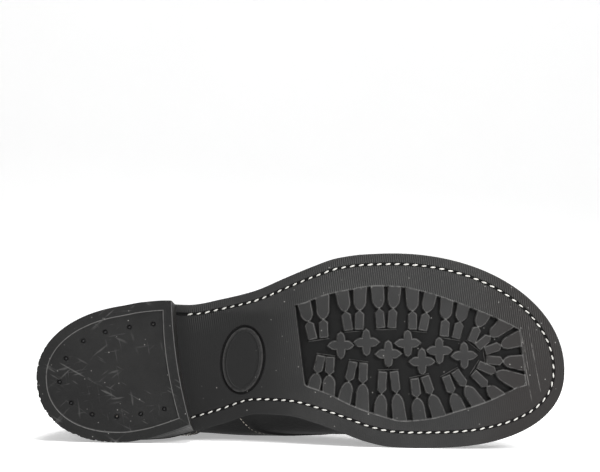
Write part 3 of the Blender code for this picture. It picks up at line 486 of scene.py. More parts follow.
# What repeats is grown by small trees of Geometry Nodes.
class Tree:
    def __init__(self, name, inputs):
        self.tree = bpy.data.node_groups.new(name, "GeometryNodeTree")
        self.ids = {}
        sockets = self.tree.interface
        sockets.new_socket("Geometry", in_out="INPUT", socket_type="NodeSocketGeometry")
        for label, (kind, value) in inputs.items():
            made = sockets.new_socket(label, in_out="INPUT", socket_type=kind)
            if value is not None:
                made.default_value = value
            self.ids[label] = made.identifier
        sockets.new_socket("Geometry", in_out="OUTPUT", socket_type="NodeSocketGeometry")
        self.start = self.tree.nodes.new("NodeGroupInput")

    def node(self, kind, settings=None, sockets=None):
        made = self.tree.nodes.new(kind)
        for key, value in (settings or {}).items():
            setattr(made, key, value)
        for key, value in (sockets or {}).items():
            if isinstance(value, bpy.types.Node):
                value = value.outputs[0]
            if isinstance(value, bpy.types.NodeSocket):
                self.tree.links.new(value, made.inputs[key])
            else:
                made.inputs[key].default_value = value
        return made

    def value(self, label):
        return self.start.outputs[label]

    def maths(self, operation, first, second):
        return self.node("ShaderNodeMath", {"operation": operation}, {0: first, 1: second})

    def end(self, geometry):
        realized = self.node("GeometryNodeRealizeInstances", None, {0: geometry})
        painted = self.node("GeometryNodeSetMaterial", None,
                            {"Geometry": realized, "Material": self.value("Finish")})
        last = self.tree.nodes.new("NodeGroupOutput")
        self.tree.links.new(painted.outputs[0], last.inputs[0])
        return self

    def grow(self, name, mesh, finish, **sizes):
        # runs the tree on a mesh and keeps the result as a plain mesh
        source = addPiece(name + "Source", mesh)
        modifier = source.modifiers.new("grow", "NODES")
        modifier.node_group = self.tree
        modifier[self.ids["Finish"]] = finish
        for label, value in sizes.items():
            modifier[self.ids[label]] = value
        shown = source.evaluated_get(bpy.context.evaluated_depsgraph_get())
        result = bpy.data.meshes.new_from_object(shown)
        bpy.data.objects.remove(source)
        result.name = name
        return result


unevenSize = {"Min": 0.88, "Max": 1.06}      # smallest and largest stitch, as shares of the plain one


def stitchTree():
    number = "NodeSocketFloat"
    tree = Tree("stitchesAlongLine", {
        "Pitch": (number, 5 * mm), "Length": (number, 3.6 * mm), "Width": (number, 1.2 * mm),
        "Height": (number, 0.9 * mm), "Slant": (number, 0.0), "Seed": ("NodeSocketInt", 4),
        "Up": ("NodeSocketVector", (0, 0, -1)),
        "Finish": ("NodeSocketMaterial", None),
    })
    line = tree.node("GeometryNodeMeshToCurve", None, {0: tree.value("Geometry")})
    places = tree.node("GeometryNodeResampleCurve", {"mode": "LENGTH"},
                       {"Curve": line, "Length": tree.value("Pitch")})
    tangent = tree.node("GeometryNodeInputTangent")
    along = tree.node("FunctionNodeAlignRotationToVector", {"axis": "X"}, {"Vector": tangent})
    upright = tree.node("FunctionNodeAlignRotationToVector", {"axis": "Z", "pivot_axis": "X"},
                        {"Rotation": along, "Vector": tree.value("Up")})
    bead = tree.node("GeometryNodeMeshUVSphere", None, {"Segments": 8, "Rings": 6, "Radius": 0.5})
    size = tree.node("ShaderNodeCombineXYZ", None,
                     {"X": tree.value("Length"), "Y": tree.value("Width"), "Z": tree.value("Height")})
    bead = tree.node("GeometryNodeTransform", None, {"Geometry": bead, "Scale": size})
    slant = tree.node("ShaderNodeCombineXYZ", None, {"Z": tree.value("Slant")})
    bead = tree.node("GeometryNodeTransform", None, {"Geometry": bead, "Rotation": slant})
    uneven = tree.node("FunctionNodeRandomValue", {"data_type": "FLOAT"}, {"Seed": tree.value("Seed")})
    for socket in uneven.inputs:
        if socket.type == "VALUE" and socket.name in unevenSize:
            socket.default_value = unevenSize[socket.name]
    chance = next(socket for socket in uneven.outputs if socket.type == "VALUE")
    sewn = tree.node("GeometryNodeInstanceOnPoints", None,
                     {"Points": places, "Instance": bead, "Rotation": upright, "Scale": chance})
    return tree.end(sewn)


stitches = stitchTree()


def linesMesh(name, lines):
    vertices, edges = [], []
    for line in lines:
        edges += [(len(vertices) + i, len(vertices) + i + 1) for i in range(len(line) - 1)]
        vertices += [tuple(point) for point in line]
    mesh = bpy.data.meshes.new(name)
    mesh.from_pydata(vertices, edges, [])
    return mesh


# outsole
sole = {
    "breast": 0.0825, "lugDepth": 3.0 * mm, "lugWidth": 8.0 * mm, "innerLug": 4.3 * mm,
    "lugOverrun": 5.0 * mm, "innerLugPoint": 0.545,
    "wallRun": 0.85 * mm, "edgeBevel": 0.28 * mm, "lugDrop": 0.10 * mm, "bevelDrop": 0.22 * mm,
    "ridge": 0.16 * mm, "ridgeRun": 0.30 * mm, "barRise": 0.55 * mm, "barGap": 1.3 * mm,
    "crossSpan": 14.4 * mm, "crossArm": 4.4 * mm, "crossHead": 3.8 * mm,
    "grooveLip": 1.05 * mm, "grooveFloor": 0.60 * mm, "grooveDepth": 0.95 * mm,
    "plateLength": 37 * mm, "plateWidth": 23 * mm, "plateTurn": radians(98), "plateGroove": 1.5 * mm,
    "plateDepth": 1.3 * mm, "plateLip": 0.3 * mm, "plateFall": 0.35 * mm,
    "plateLine": 2.0 * mm, "plateLineRise": 0.22 * mm, "plateLineRun": 0.4 * mm,
    "barHalf": 0.18 * mm, "barRun": 0.2 * mm, "edgeRound": 0.5 * mm, "edgeDrop": 0.45 * mm, "grid": 2.6 * mm,
}

panelRows = table("along outer inner", [
    (0.497, 0.352, 0.060), (0.545, 0.401, 0.108), (0.590, 0.425, 0.170), (0.640, 0.443, 0.222),
    (0.690, 0.435, 0.256), (0.740, 0.402, 0.246), (0.790, 0.355, 0.211), (0.840, 0.301, 0.172),
    (0.885, 0.246, 0.122), (0.914, 0.204, 0.084),
])
panelSlants = {"rearOuter": 0.075, "rearInner": 0.298, "toeInner": 0.330}

# where each pair of lugs starts and ends, and how far apart its two lugs are there
lugPairs = table("edgeAlong edgeSide endAlong endSide spread meet", [
    (0.523, -0.376, 0.532, -0.180, 0.098, 0.058), (0.595, -0.425, 0.599, -0.220, 0.094, 0.055),
    (0.661, -0.439, 0.660, -0.227, 0.091, 0.056), (0.728, -0.409, 0.719, -0.214, 0.096, 0.052),
    (0.792, -0.354, 0.780, -0.173, 0.091, 0.062), (0.867, -0.272, 0.826, -0.133, 0.124, 0.042),
    (0.914, -0.094, 0.848, -0.074, 0.124, 0.046), (0.892, 0.113, 0.828, -0.005, 0.128, 0.050),
    (0.813, 0.195, 0.779, 0.018, 0.103, 0.054), (0.737, 0.237, 0.721, 0.035, 0.101, 0.054),
    (0.663, 0.242, 0.662, 0.002, 0.101, 0.057), (0.594, 0.171, 0.606, -0.047, 0.097, 0.052),
    (0.534, 0.111, 0.545, -0.081, 0.082, 0.047),
])
outerLugCorners = [(0.520, 0.10), (0.500, 0.300), (0.450, 0.520), (0.395, 0.690), (0.330, 0.780)]
innerLugCorners = [(1.0, 0.92), (0.985, 1.0), (0.640, 1.0), (0.622, 0.86)]
crossSide = [(0.86, 0.42), (0.68, 0.85), (0.50, 1.0), (0.30, 1.0)]
crossHead = [(1.0, 0.58), (0.93, 0.70), (0.72, 0.86)]
crosses = [(0.574, -0.139), (0.622, -0.152), (0.663, -0.091), (0.700, -0.144), (0.726, -0.049),
           (0.759, -0.103), (0.806, -0.075)]
plateCentre = (0.386, -0.072)

# how far the sole's stitching runs inside its edge
stitchInset = table("along outer inner", [
    (0.20, 5.6 * mm, 8.3 * mm), (0.45, 5.5 * mm, 8.6 * mm), (0.62, 6.0 * mm, 8.8 * mm),
    (0.85, 6.2 * mm, 8.4 * mm), (1.0, 6.6 * mm, 6.6 * mm),
])


def turned(points, centre, angle):
    c, s = cos(angle), sin(angle)
    return [(centre[0] + x * c - y * s, centre[1] + x * s + y * c) for x, y in points]


def onSole(along, side):
    return along * boot["length"], side * boot["ballWidth"]


def mirrored(side):
    return side + [(x, -y) for x, y in reversed(side) if y]


def panelOutline():
    outer, inner = [], []
    steps = 40
    first, last = panelRows[0].along, panelRows[-1].along
    for i in range(steps + 1):
        along = first + (last - first) * i / steps
        x = along * boot["length"]
        outer.append((x, -smoothTable(panelRows, "along", "outer", along) * boot["ballWidth"]))
        inner.append((x, smoothTable(panelRows, "along", "inner", along) * boot["ballWidth"]))
    for line, end, slant in ((outer, 0, "rearOuter"), (inner, 0, "rearInner"), (inner, -1, "toeInner")):
        x, y = line[end]
        line[end] = (x + panelSlants[slant] * y, y)
    while inner[0][0] >= inner[1][0]:
        inner.pop(1)
    while inner[-1][0] <= inner[-2][0]:
        inner.pop(-2)
    return outer + inner[::-1]


def lugOutlines():
    meanSpread = sum(pair.spread for pair in lugPairs) / len(lugPairs)
    lugs, bars = [], []
    for pair in lugPairs:
        edge = Vector(onSole(pair.edgeAlong, pair.edgeSide))
        end = Vector(onSole(pair.endAlong, pair.endSide))
        inward = (end - edge).normalized()
        across = inward.orthogonal()
        wide = sole["lugWidth"] / 2 * pair.spread / meanSpread
        for sign in (-1, 1):
            start = edge + across * sign * pair.spread * boot["ballWidth"] / 2
            stop = end + across * sign * pair.meet * boot["ballWidth"] / 2
            length = (stop - start).length
            angle = atan2(stop.y - start.y, stop.x - start.x)
            outer = [(a * length, h * sole["lugWidth"] / 2) for a, h in outerLugCorners]
            inner = [(a * length, h * sole["innerLug"] / 2) for a, h in innerLugCorners]
            lugs.append(turned(mirrored(outer + [(-sole["lugOverrun"], wide)]), start, angle))
            lugs.append(turned(mirrored(inner + [(sole["innerLugPoint"] * length, 0.0)]), start, angle))
        half = pair.meet * boot["ballWidth"] / 2 + sole["innerLug"] * 0.62
        middle = end + inward * sole["barGap"]
        bar = [(-sole["barHalf"], -half), (sole["barHalf"], -half), (sole["barHalf"], half), (-sole["barHalf"], half)]
        bars.append(turned(bar, middle, atan2(inward.y, inward.x)))
    return lugs, bars


def crossOutline():
    reach = sole["crossSpan"] / 2
    quarter = [(reach, 0.0)] + [(a * reach, h * sole["crossArm"] / 2) for a, h in crossSide]
    quarter += [(a * sole["crossHead"] / 2, h * reach) for a, h in crossHead]
    return mirrored(quarter + [(0.0, reach)] + [(-x, y) for x, y in reversed(quarter)])


def oval(length, width, steps=72):
    angles = [2 * pi * i / steps for i in range(steps)]
    return [(length / 2 * cos(angle), width / 2 * sin(angle)) for angle in angles]


def offsetLoop(loop, distance):
    # a closed line moved outwards by a distance, each corner along its own middle direction
    points = [Vector(p) for p in loop]
    area = sum(a.x * b.y - b.x * a.y for a, b in zip(points, points[1:] + points[:1]))
    moved = []
    for i, point in enumerate(points):
        before = (point - points[i - 1]).normalized()
        after = (points[(i + 1) % len(points)] - point).normalized()
        first, second = Vector((before.y, -before.x)), Vector((after.y, -after.x))
        middle = (first + second).normalized()
        stretch = min(1 / max(middle.dot(first), 0.2), 1.8)
        moved.append(point + middle * (distance * stretch * (1 if area > 0 else -1)))
    return [(p.x, p.y) for p in moved]


def distanceInside(points, loop, closed=True):
    # how far each point is inside a closed line, negative outside; for an open one, how far off
    first = np.array(loop)
    second = np.roll(first, -1, 0)
    if not closed:
        first, second = first[:-1], second[:-1]
    edge = second - first
    away = points[:, None, :] - first
    t = np.clip((away * edge).sum(-1) / np.maximum((edge**2).sum(-1), 1e-18), 0, 1)
    gap = np.linalg.norm(away - t[..., None] * edge, axis=-1).min(1)
    if not closed:
        return gap
    y, x = points[:, None, 1], points[:, None, 0]
    over = (first[:, 1] > y) != (second[:, 1] > y)
    slope = np.where(edge[:, 1] == 0, 1e-18, edge[:, 1])
    hits = over & (x < first[:, 0] + (y - first[:, 1]) * edge[:, 0] / slope)
    return np.where(hits.sum(1) % 2 == 1, gap, -gap)


def meshPlan(points, links, edge):
    # triangles between the given lines, kept inside the edge, which is the first of them
    flat, _, triangles, origins, _, _ = delaunay_2d_cdt(points, links, [], 0, 1e-7, True)
    place = np.array([(p.x, p.y) for p in flat])
    middles = np.array([place[list(triangle)].mean(0) for triangle in triangles])
    kept = distanceInside(middles, edge) > 0
    faces = [list(reversed(triangle)) for triangle, inside in zip(triangles, kept) if inside]
    loop = {old: new for new, olds in enumerate(origins) for old in olds if old < len(edge)}
    return place, faces, [loop[i] for i in range(len(edge))]


def stitchLine():
    # from the heel's breast on the outer side round the toe to its inner side
    edge = [Vector(p) for p in soleOutline()]
    line = []
    for i, point in enumerate(edge):
        ahead = edge[(i + 1) % len(edge)] - edge[i - 1]
        inward = Vector((-ahead.y, ahead.x)).normalized()
        side = "outer" if point.y < 0 else "inner"
        moved = point + inward * smoothTable(stitchInset, "along", side, point.x / boot["length"])
        if point.x > sole["breast"] - 9 * mm:
            line.append((moved.x, moved.y))
    start = max(range(len(line)), key=lambda i: (Vector(line[i]) - Vector(line[i - 1])).length)
    return line[start:] + line[:start]


def addLoops(points, links, loops):
    for loop in loops:
        base = len(points)
        points += [Vector(p) for p in loop]
        links += [(base + i, base + (i + 1) % len(loop)) for i in range(len(loop))]


def joinLoops(faces, below, above):
    for i in range(len(below)):
        n = (i + 1) % len(below)
        faces.append((below[i], below[n], above[n], above[i]))


def addLayers(mesh, **layers):
    # values for the first points of a mesh, and 0 for the rest
    for name, values in layers.items():
        padded = np.zeros(len(mesh.vertices), np.float32)
        padded[:len(values)] = values[:len(padded)]
        mesh.attributes.new(name, "FLOAT", "POINT").data.foreach_set("value", padded)


def hump(distance, run):
    # 1 at a line, 0 from run away on
    return np.clip(1 - np.abs(distance) / run, 0, 1)


def solePlan(edge, panel, shapes, bars, plate, seam):
    # every line of the relief, and a plain grid between them
    inner, outer = plate
    loops = [edge, soleOutline(sole["edgeRound"])]
    loops += [offsetLoop(panel, d) for d in (sole["ridgeRun"], 0.0, -sole["wallRun"])]
    for shape in shapes:
        loops += [offsetLoop(shape, d) for d in (sole["wallRun"], 0.0, -sole["edgeBevel"])]
    loops += bars + [offsetLoop(bar, sole["barRun"]) for bar in bars]
    loops += [inner, offsetLoop(inner, -sole["plateLip"]), offsetLoop(inner, sole["plateFall"]),
              outer, offsetLoop(outer, sole["plateLip"]), offsetLoop(outer, -sole["plateFall"])]
    loops += [offsetLoop(inner, d - sole["plateLine"]) for d in (sole["plateLineRun"], 0.0, -sole["plateLineRun"])]
    points, links = [], []
    addLoops(points, links, loops)
    for off in (sole["grooveLip"], sole["grooveFloor"], -sole["grooveFloor"], -sole["grooveLip"]):
        base = len(points)
        for i, point in enumerate(seam):
            ahead = Vector(seam[min(i + 1, len(seam) - 1)]) - Vector(seam[max(i - 1, 0)])
            points.append(Vector(point) + Vector((-ahead.y, ahead.x)).normalized() * off)
        links += [(base + i, base + i + 1) for i in range(len(seam) - 1)]
    across = int(boot["ballWidth"] * 1.1 / sole["grid"])
    spare = []
    for i in range(int(boot["length"] / sole["grid"])):
        for j in range(-across // 2 - 6, across // 2 + 6):
            spare.append(((i + 0.5 * (j % 2)) * sole["grid"], j * sole["grid"] * 0.87))
    spare = np.array(spare)
    points += [Vector(p) for p, d in zip(spare, distanceInside(spare, edge)) if d > 1.2 * mm]
    return meshPlan(points, links, edge)


def ribbing(place, inPanel):
    # where the fine ribs show: strongest on the ball, faint at the waist and towards its outer side
    # the same share scales the painted highlight on the rib crests
    along, side = place[:, 0] / boot["length"], place[:, 1] / boot["ballWidth"]
    ribbed = np.interp(along, [0.27, 0.29, 0.34, 0.42, 0.50, 0.58, 0.90, 0.97],
                       [0.0, 0.6, 0.35, 0.1, 0.4, 1.0, 1.0, 0.5])
    ribbed *= np.interp(side, [-0.16, 0.12], [1.0, 0.12]) * (inPanel < 0)
    return ribbed * (np.interp(side + 0.30, [0.0, 0.10], [1.0, 0.15]) * (along < 0.45) + (along >= 0.45))


def buildOutsole():
    edge, panel, seam = soleOutline(), panelOutline(), stitchLine()
    lugs, bars = lugOutlines()
    shapes = lugs + [turned(crossOutline(), onSole(*spot), 0.0) for spot in crosses]
    plate = [turned(oval(sole["plateLength"] + more, sole["plateWidth"] + more), onSole(*plateCentre),
                    sole["plateTurn"]) for more in (0.0, 2 * sole["plateGroove"])]
    place, faces, previous = solePlan(edge, panel, shapes, bars, plate, seam)

    def near(loop, margin=1.2 * mm):
        low, high = np.min(loop, 0) - margin, np.max(loop, 0) + margin
        return np.nonzero(((place >= low) & (place <= high)).all(1))[0]

    inPanel = distanceInside(place, panel)
    depth = np.interp(inPanel, [0.0, sole["wallRun"]], [0.0, sole["lugDepth"]])
    # worn marks the edges that are painted paler: partly wear, partly painted highlight on the panel's ridge, the lug
    # edges, the bars and the plate's line
    worn = hump(inPanel, sole["ridgeRun"])
    depth -= sole["ridge"] * worn
    runs = [-sole["wallRun"], 0.0, sole["edgeBevel"]]
    drops = [sole["lugDepth"], sole["bevelDrop"] + sole["lugDrop"], sole["lugDrop"]]
    for shape in shapes:
        some = near(shape)
        inside = distanceInside(place[some], shape)
        raised = np.interp(inside, runs, drops)
        wins = (raised < depth[some]) & (inPanel[some] > 0)
        depth[some] = np.where(wins, raised, depth[some])
        worn[some] = np.maximum(worn[some], np.where(inPanel[some] > 0, hump(inside, sole["edgeBevel"]), 0))
    for bar in bars:
        some = near(bar)
        inside = distanceInside(place[some], bar)
        raised = np.interp(inside, [-sole["barRun"], 0.0], [sole["lugDepth"], sole["lugDepth"] - sole["barRise"]])
        depth[some] = np.minimum(depth[some], raised)
        worn[some] = np.maximum(worn[some], np.clip(1 + inside / sole["barRun"], 0, 1) * 0.5)
    some = near(plate[1], 3 * mm)
    inside, outside = (distanceInside(place[some], loop) for loop in plate)
    trench = np.minimum(np.interp(outside, [-sole["plateLip"], sole["plateFall"]], [0, 1]),
                        np.interp(-inside, [0.0, sole["plateFall"]], [0, 1]))
    depth[some] += sole["plateDepth"] * trench
    depth[some] -= sole["plateLineRise"] * hump(inside - sole["plateLine"], sole["plateLineRun"])
    worn[some] = np.maximum(worn[some], 0.5 * hump(inside - 0.1 * mm, sole["plateLineRun"]))
    grooved = np.interp(distanceInside(place, seam, closed=False), [sole["grooveFloor"], sole["grooveLip"]], [1.0, 0.0])
    depth += sole["grooveDepth"] * grooved
    depth += np.interp(distanceInside(place, edge), [0.0, sole["edgeRound"] * 0.5, sole["edgeRound"]],
                       [sole["edgeDrop"], 0.12 * mm, 0.0])
    # sunk marks the recesses, whose floors are painted as shade
    sunk = np.clip(depth / sole["lugDepth"], 0, 1)
    sunk[some] = np.maximum(sunk[some], trench)
    sunk = np.maximum(sunk, grooved)

    vertices = [(x, y, treadHeight(x) + d) for (x, y), d in zip(place, depth)]
    levels = [(sole["edgeDrop"] + sole["edgeRound"], 0.05 * mm), (boot["outsole"] / 2, 0.12 * mm),
              (boot["outsole"] - sole["edgeRound"], 0.0), (boot["outsole"], 0.4 * mm)]
    for rise, inset in levels:
        inner = offsetLoop(edge, -inset)
        current = list(range(len(vertices), len(vertices) + len(edge)))
        vertices += [(x, y, treadHeight(edge[i][0]) + rise) for i, (x, y) in enumerate(inner)]
        joinLoops(faces, previous, current)
        previous = current
    for i in range(len(stations()) - 1):      # the top is closed by strips from side to side
        strip = []
        for index in (i, i + 1, (len(edge) - i - 1) % len(edge), (len(edge) - i) % len(edge)):
            if previous[index] not in strip:
                strip.append(previous[index])
        faces.append(strip)
    mesh = meshOf("outsoleMoulding", vertices, faces, [finishes["outsoleRubber"]], merge=0)
    addLayers(mesh, sunk=sunk, worn=worn, ribbed=ribbing(place, inPanel))
    return setPiece("outsoleMoulding", mesh, 28, ("outsole",))


buildOutsole()

soleThread = {"Pitch": 5.05 * mm, "Length": 3.35 * mm, "Width": 1.02 * mm, "Height": 1.0 * mm,
              "Slant": radians(10)}


def buildSoleStitches():
    sink, start = 0.42 * mm, sole["breast"] + 1.5 * mm
    line = [(x, y, treadHeight(x) + sink) for x, y in stitchLine() if x > start]
    mesh = stitches.grow("soleStitches", linesMesh("seam", [line]), finishes["whiteThread"], **soleThread)
    setPiece("soleStitches", mesh, 80)


buildSoleStitches()
print("outsole moulded and sewn")


# heel
heel = {
    "breast": 0.0825, "slant": 0.134, "rake": 0.6 * mm, "bow": 2.2 * mm, "rim": 5.7 * mm,
    "sink": 0.55 * mm, "ridge": 0.22 * mm, "ridgeRun": 0.36 * mm, "roundOuter": 0.062, "powerOuter": 2.1,
    "roundInner": 0.048, "powerInner": 2.25, "joint": 0.30 * mm, "nick": 1.2 * mm, "line": 0.30 * mm,
    "layers": (6.8 * mm, 11.9 * mm, 17.0 * mm, 22.1 * mm, 26.7 * mm),
    "nailHole": 1.35 * mm, "nailDepth": 1.2 * mm, "nailHead": 0.75 * mm, "nailLip": 0.35 * mm,
    "nailFloor": 0.2 * mm, "edgeRound": 0.45 * mm, "breastSteps": 24, "tipSteps": 130,
}
heelRows = table("along outer inner", [
    (0.000, 0.368, 0.336), (0.160, 0.369, 0.336), (0.200, 0.379, 0.323), (0.240, 0.386, 0.294),
    (0.290, 0.380, 0.248),
])
# the nails, in millimetres from the heel and to the side
nails = [(x * mm, y * mm) for x, y in (
    (66.2, -29.2), (52.7, -27.7), (39.0, -25.2), (26.5, -20.4), (16.7, -10.7), (12.9, 2.4), (19.4, 14.4),
    (31.1, 21.1), (45.0, 22.6), (58.5, 21.3), (71.8, 18.7))]


def heelOutline(share, inset=0.0, steps=40):
    # share is 0 on the tread and 1 under the seat
    points = []
    for side, column, reachRound, power in ((-1, "outer", heel["roundOuter"], heel["powerOuter"]),
                                            (1, "inner", heel["roundInner"], heel["powerInner"])):
        reach = heel["breast"] + heel["rake"] * share - inset
        tread = smoothTable(heelRows, "along", column, reach / boot["length"]) * boot["ballWidth"]
        end = reach + heel["slant"] * side * (tread - inset)
        line = []
        for i in range(steps + 1):
            x = inset + (end - inset) * (1 - cos(pi / 2 * i / steps))
            below = smoothTable(heelRows, "along", column, x / boot["length"]) * boot["ballWidth"] - inset
            below *= roundEnd(x - inset, reachRound - inset, power)
            above = soleHalfWidths(x, inset)[0 if side < 0 else 1] - 0.5 * mm
            line.append((x, side * (below * (1 - share) + above * share)))
        points += line[::-1] if side < 0 else line[1:]
    first, last = points[-1], points[0]
    for i in range(1, heel["breastSteps"]):
        t = i / heel["breastSteps"]
        bow = heel["bow"] * 4 * t * (1 - t)
        points.append((first[0] + (last[0] - first[0]) * t - bow, first[1] + (last[1] - first[1]) * t))
    return points


def stackRows(name, rows, finish, replaced, sharp=30):
    # a solid through closed lines of equal counts, closed by flat ends
    count = len(rows[0])
    vertices = [point for row in rows for point in row]
    faces = [list(range(count)), list(range((len(rows) - 1) * count, len(rows) * count))]
    for i in range(len(rows) - 1):
        for j in range(count):
            n = (j + 1) % count
            faces.append((i * count + j, i * count + n, (i + 1) * count + n, (i + 1) * count + j))
    return setPiece(name, meshOf(name, vertices, faces, [finish]), sharp, replaced)


def buildHeelStack():
    rows = []
    layers = heel["layers"]
    for low, high in zip(layers, layers[1:]):
        for z, inset in ((low, heel["joint"]), (low + 0.25 * mm, 0.06 * mm), (low + 0.7 * mm, 0.0),
                         ((low + high) / 2, 0.0), (high - 0.7 * mm, 0.0), (high - 0.25 * mm, 0.06 * mm)):
            rows.append([(x, y, z) for x, y in offsetLoop(heelOutline(z / boot["heelHeight"]), -inset)])
    rows.append([(x, y, layers[-1]) for x, y in offsetLoop(heelOutline(1.0), -heel["joint"])])
    stackRows("heelStack", rows, finishes["blackEdge"], ("heel_block",))


def nicked(x, y):
    # the trimmed rear and inner edge of the heel tip is a little ragged
    where = max(0.0, min(1.0, (0.066 - x) / 0.02)) * max(0.0, min(1.0, (y + 0.022) / 0.02))
    rough = noise.noise(Vector((x, y, 0)) * 620) + 0.6 * noise.noise(Vector((x, y, 3)) * 1500)
    return heel["nick"] * where * max(0.0, rough)


def buildHeelTip():
    smoothEdge = heelOutline(0.0, steps=heel["tipSteps"])
    edge = [(x + (0.035 - x) / 0.05 * nicked(x, y), y - (1 if y > 0 else -1) * 0.6 * nicked(x, y))
            for x, y in smoothEdge]
    field = heelOutline(0.0, heel["rim"])
    loops = [edge, offsetLoop(edge, -heel["edgeRound"])]
    loops += [offsetLoop(field, d) for d in (0.45 * mm, 0.1 * mm, -0.3 * mm, -0.7 * mm)]
    wide, hole, narrow = heel["nailHole"] + heel["nailLip"], heel["nailHole"], heel["nailHole"] - heel["nailFloor"]
    angles = [2 * pi * i / 16 for i in range(16)]
    loops += [[(x + r * cos(a), y + r * sin(a)) for a in angles] for x, y in nails for r in (wide, hole, narrow)]
    points, links = [], []
    addLoops(points, links, loops)
    spare = np.array([((i + 0.5 * (j % 2)) * 2.2 * mm, j * 1.9 * mm) for i in range(45) for j in range(-24, 25)])
    points += [Vector(p) for p, d in zip(spare, distanceInside(spare, edge)) if d > 1.0 * mm]
    place, faces, previous = meshPlan(points, links, edge)
    inField, inEdge = distanceInside(place, field), distanceInside(place, edge)
    depth = np.interp(inField, [-0.1 * mm, 0.7 * mm], [0.0, heel["sink"]])
    depth -= heel["ridge"] * hump(inField + 0.1 * mm, heel["ridgeRun"])
    # worn paints the rim's ridge paler, partly wear and partly painted highlight; the paler line along the breast edge
    # is a painted highlight where the breast catches the light
    worn = hump(inField + 0.1 * mm, heel["line"])
    breast = [smoothEdge[-heel["breastSteps"]], *smoothEdge[1 - heel["breastSteps"]:], smoothEdge[0]]
    offBreast = distanceInside(place, breast, closed=False)
    worn = np.maximum(worn, np.clip(1.15 - offBreast / heel["line"], 0, 1))
    depth += np.interp(inEdge, [0.0, heel["edgeRound"]], [0.35 * mm, 0.0])
    fromNail = np.min([np.linalg.norm(place - np.array(nail), axis=1) for nail in nails], 0)
    # sunk deepens the nail holes and marks their insides for the painted shade
    sunk = np.interp(fromNail, [narrow, hole, wide], [1.0, 0.25, 0.0])
    depth += heel["nailDepth"] * sunk
    dents = [0.10 * mm * noise.noise(Vector((x, y, 0)) * 160) * (0 < d) for (x, y), d in zip(place, inField)]
    vertices = [(x, y, d + e) for (x, y), d, e in zip(place, depth, dents)]
    shift = [(a[0] - b[0], a[1] - b[1]) for a, b in zip(edge, smoothEdge)]
    # up the side: height, how much of the ragged edge is left, and how far in
    for z, keep, inset in ((0.9 * mm, 0.9, 0.0), (3.0 * mm, 0.5, 0.0), (5.8 * mm, 0.0, 0.0), (6.4 * mm, 0.0, 0.3 * mm)):
        wall = heelOutline(z / boot["heelHeight"], steps=heel["tipSteps"])
        if inset:
            wall = offsetLoop(wall, -inset)
        current = list(range(len(vertices), len(vertices) + len(wall)))
        vertices += [(x + dx * keep, y + dy * keep, z) for (x, y), (dx, dy) in zip(wall, shift)]
        joinLoops(faces, previous, current)
        previous = current
    faces.append(previous)
    mesh = meshOf("heelTip", vertices, faces, [finishes["heelRubber"]], merge=1e-7)
    addLayers(mesh, worn=worn, sunk=sunk)
    setPiece("heelTip", mesh, 30, ("top_lift",))
    spots = bpy.data.meshes.new("nailSpots")
    spots.from_pydata([(x, y, heel["nailDepth"] + heel["sink"] - 0.05 * mm) for x, y in nails], [], [])
    heads = nailHeads.grow("heelNails", spots, finishes["nailSteel"], Radius=heel["nailHead"])
    setPiece("heelNails", heads, 60)


def nailTree():
    tree = Tree("nailHeads", {"Radius": ("NodeSocketFloat", 1.1 * mm), "Finish": ("NodeSocketMaterial", None)})
    dome = tree.node("GeometryNodeMeshUVSphere", None,
                     {"Segments": 12, "Rings": 6, "Radius": tree.value("Radius")})
    flat = tree.node("GeometryNodeTransform", None, {"Geometry": dome, "Scale": (1, 1, 0.32)})
    return tree.end(tree.node("GeometryNodeInstanceOnPoints", None,
                              {"Points": tree.value("Geometry"), "Instance": flat}))


nailHeads = nailTree()
buildHeelStack()
buildHeelTip()
print("heel stacked and nailed")

# welt
welt = {"inset": 0.6 * mm, "grip": 9.0 * mm, "round": 0.55 * mm, "seam": 4.3 * mm,
        "channel": 0.35 * mm, "channelHalf": 0.7 * mm}
weltThread = {"Pitch": 3.9 * mm, "Length": 3.1 * mm, "Width": 1.0 * mm, "Height": 0.8 * mm, "Up": (0, 0, 1)}


def buildWelt():
    low, high = boot["outsole"] + boot["gap"], boot["outsole"] + boot["gap"] + boot["welt"]
    edge = soleOutline(welt["inset"])
    inner = soleOutline(welt["inset"] + welt["grip"])
    seamStart, seamEnd = welt["seam"] - welt["channelHalf"], welt["seam"] + welt["channelHalf"]
    profile = [(welt["grip"], low), (welt["round"], low), (0.0, low + welt["round"]), (0.0, high - welt["round"]),
               (welt["round"], high), (seamStart, high), (welt["seam"], high - welt["channel"]), (seamEnd, high),
               (welt["grip"], high)]
    rows = []
    for inset, rise in profile:
        line = inner if inset == welt["grip"] else offsetLoop(edge, -inset)
        rows.append([(x, y, treadHeight(min(max(x, 0.0), boot["length"])) + rise) for x, y in line])
    count = len(edge)
    vertices = [point for row in rows for point in row]
    faces = []
    for i in range(len(rows)):
        below, above = i * count, (i + 1) % len(rows) * count
        for j in range(count):
            n = (j + 1) % count
            faces.append((below + j, below + n, above + n, above + j))
    setPiece("weltStrip", meshOf("weltStrip", vertices, faces, [finishes["blackEdge"]]), 40, ("welt",))
    seam = [(x, y, treadHeight(max(x, 0.0)) + high + 0.05 * mm) for x, y in offsetLoop(edge, -welt["seam"])]
    line = linesMesh("weltSeam", [seam + seam[:1]])
    sewn = stitches.grow("weltStitches", line, finishes["whiteThread"], **weltThread)
    setPiece("weltStitches", sewn, 80)


buildWelt()
print("welt sewn")

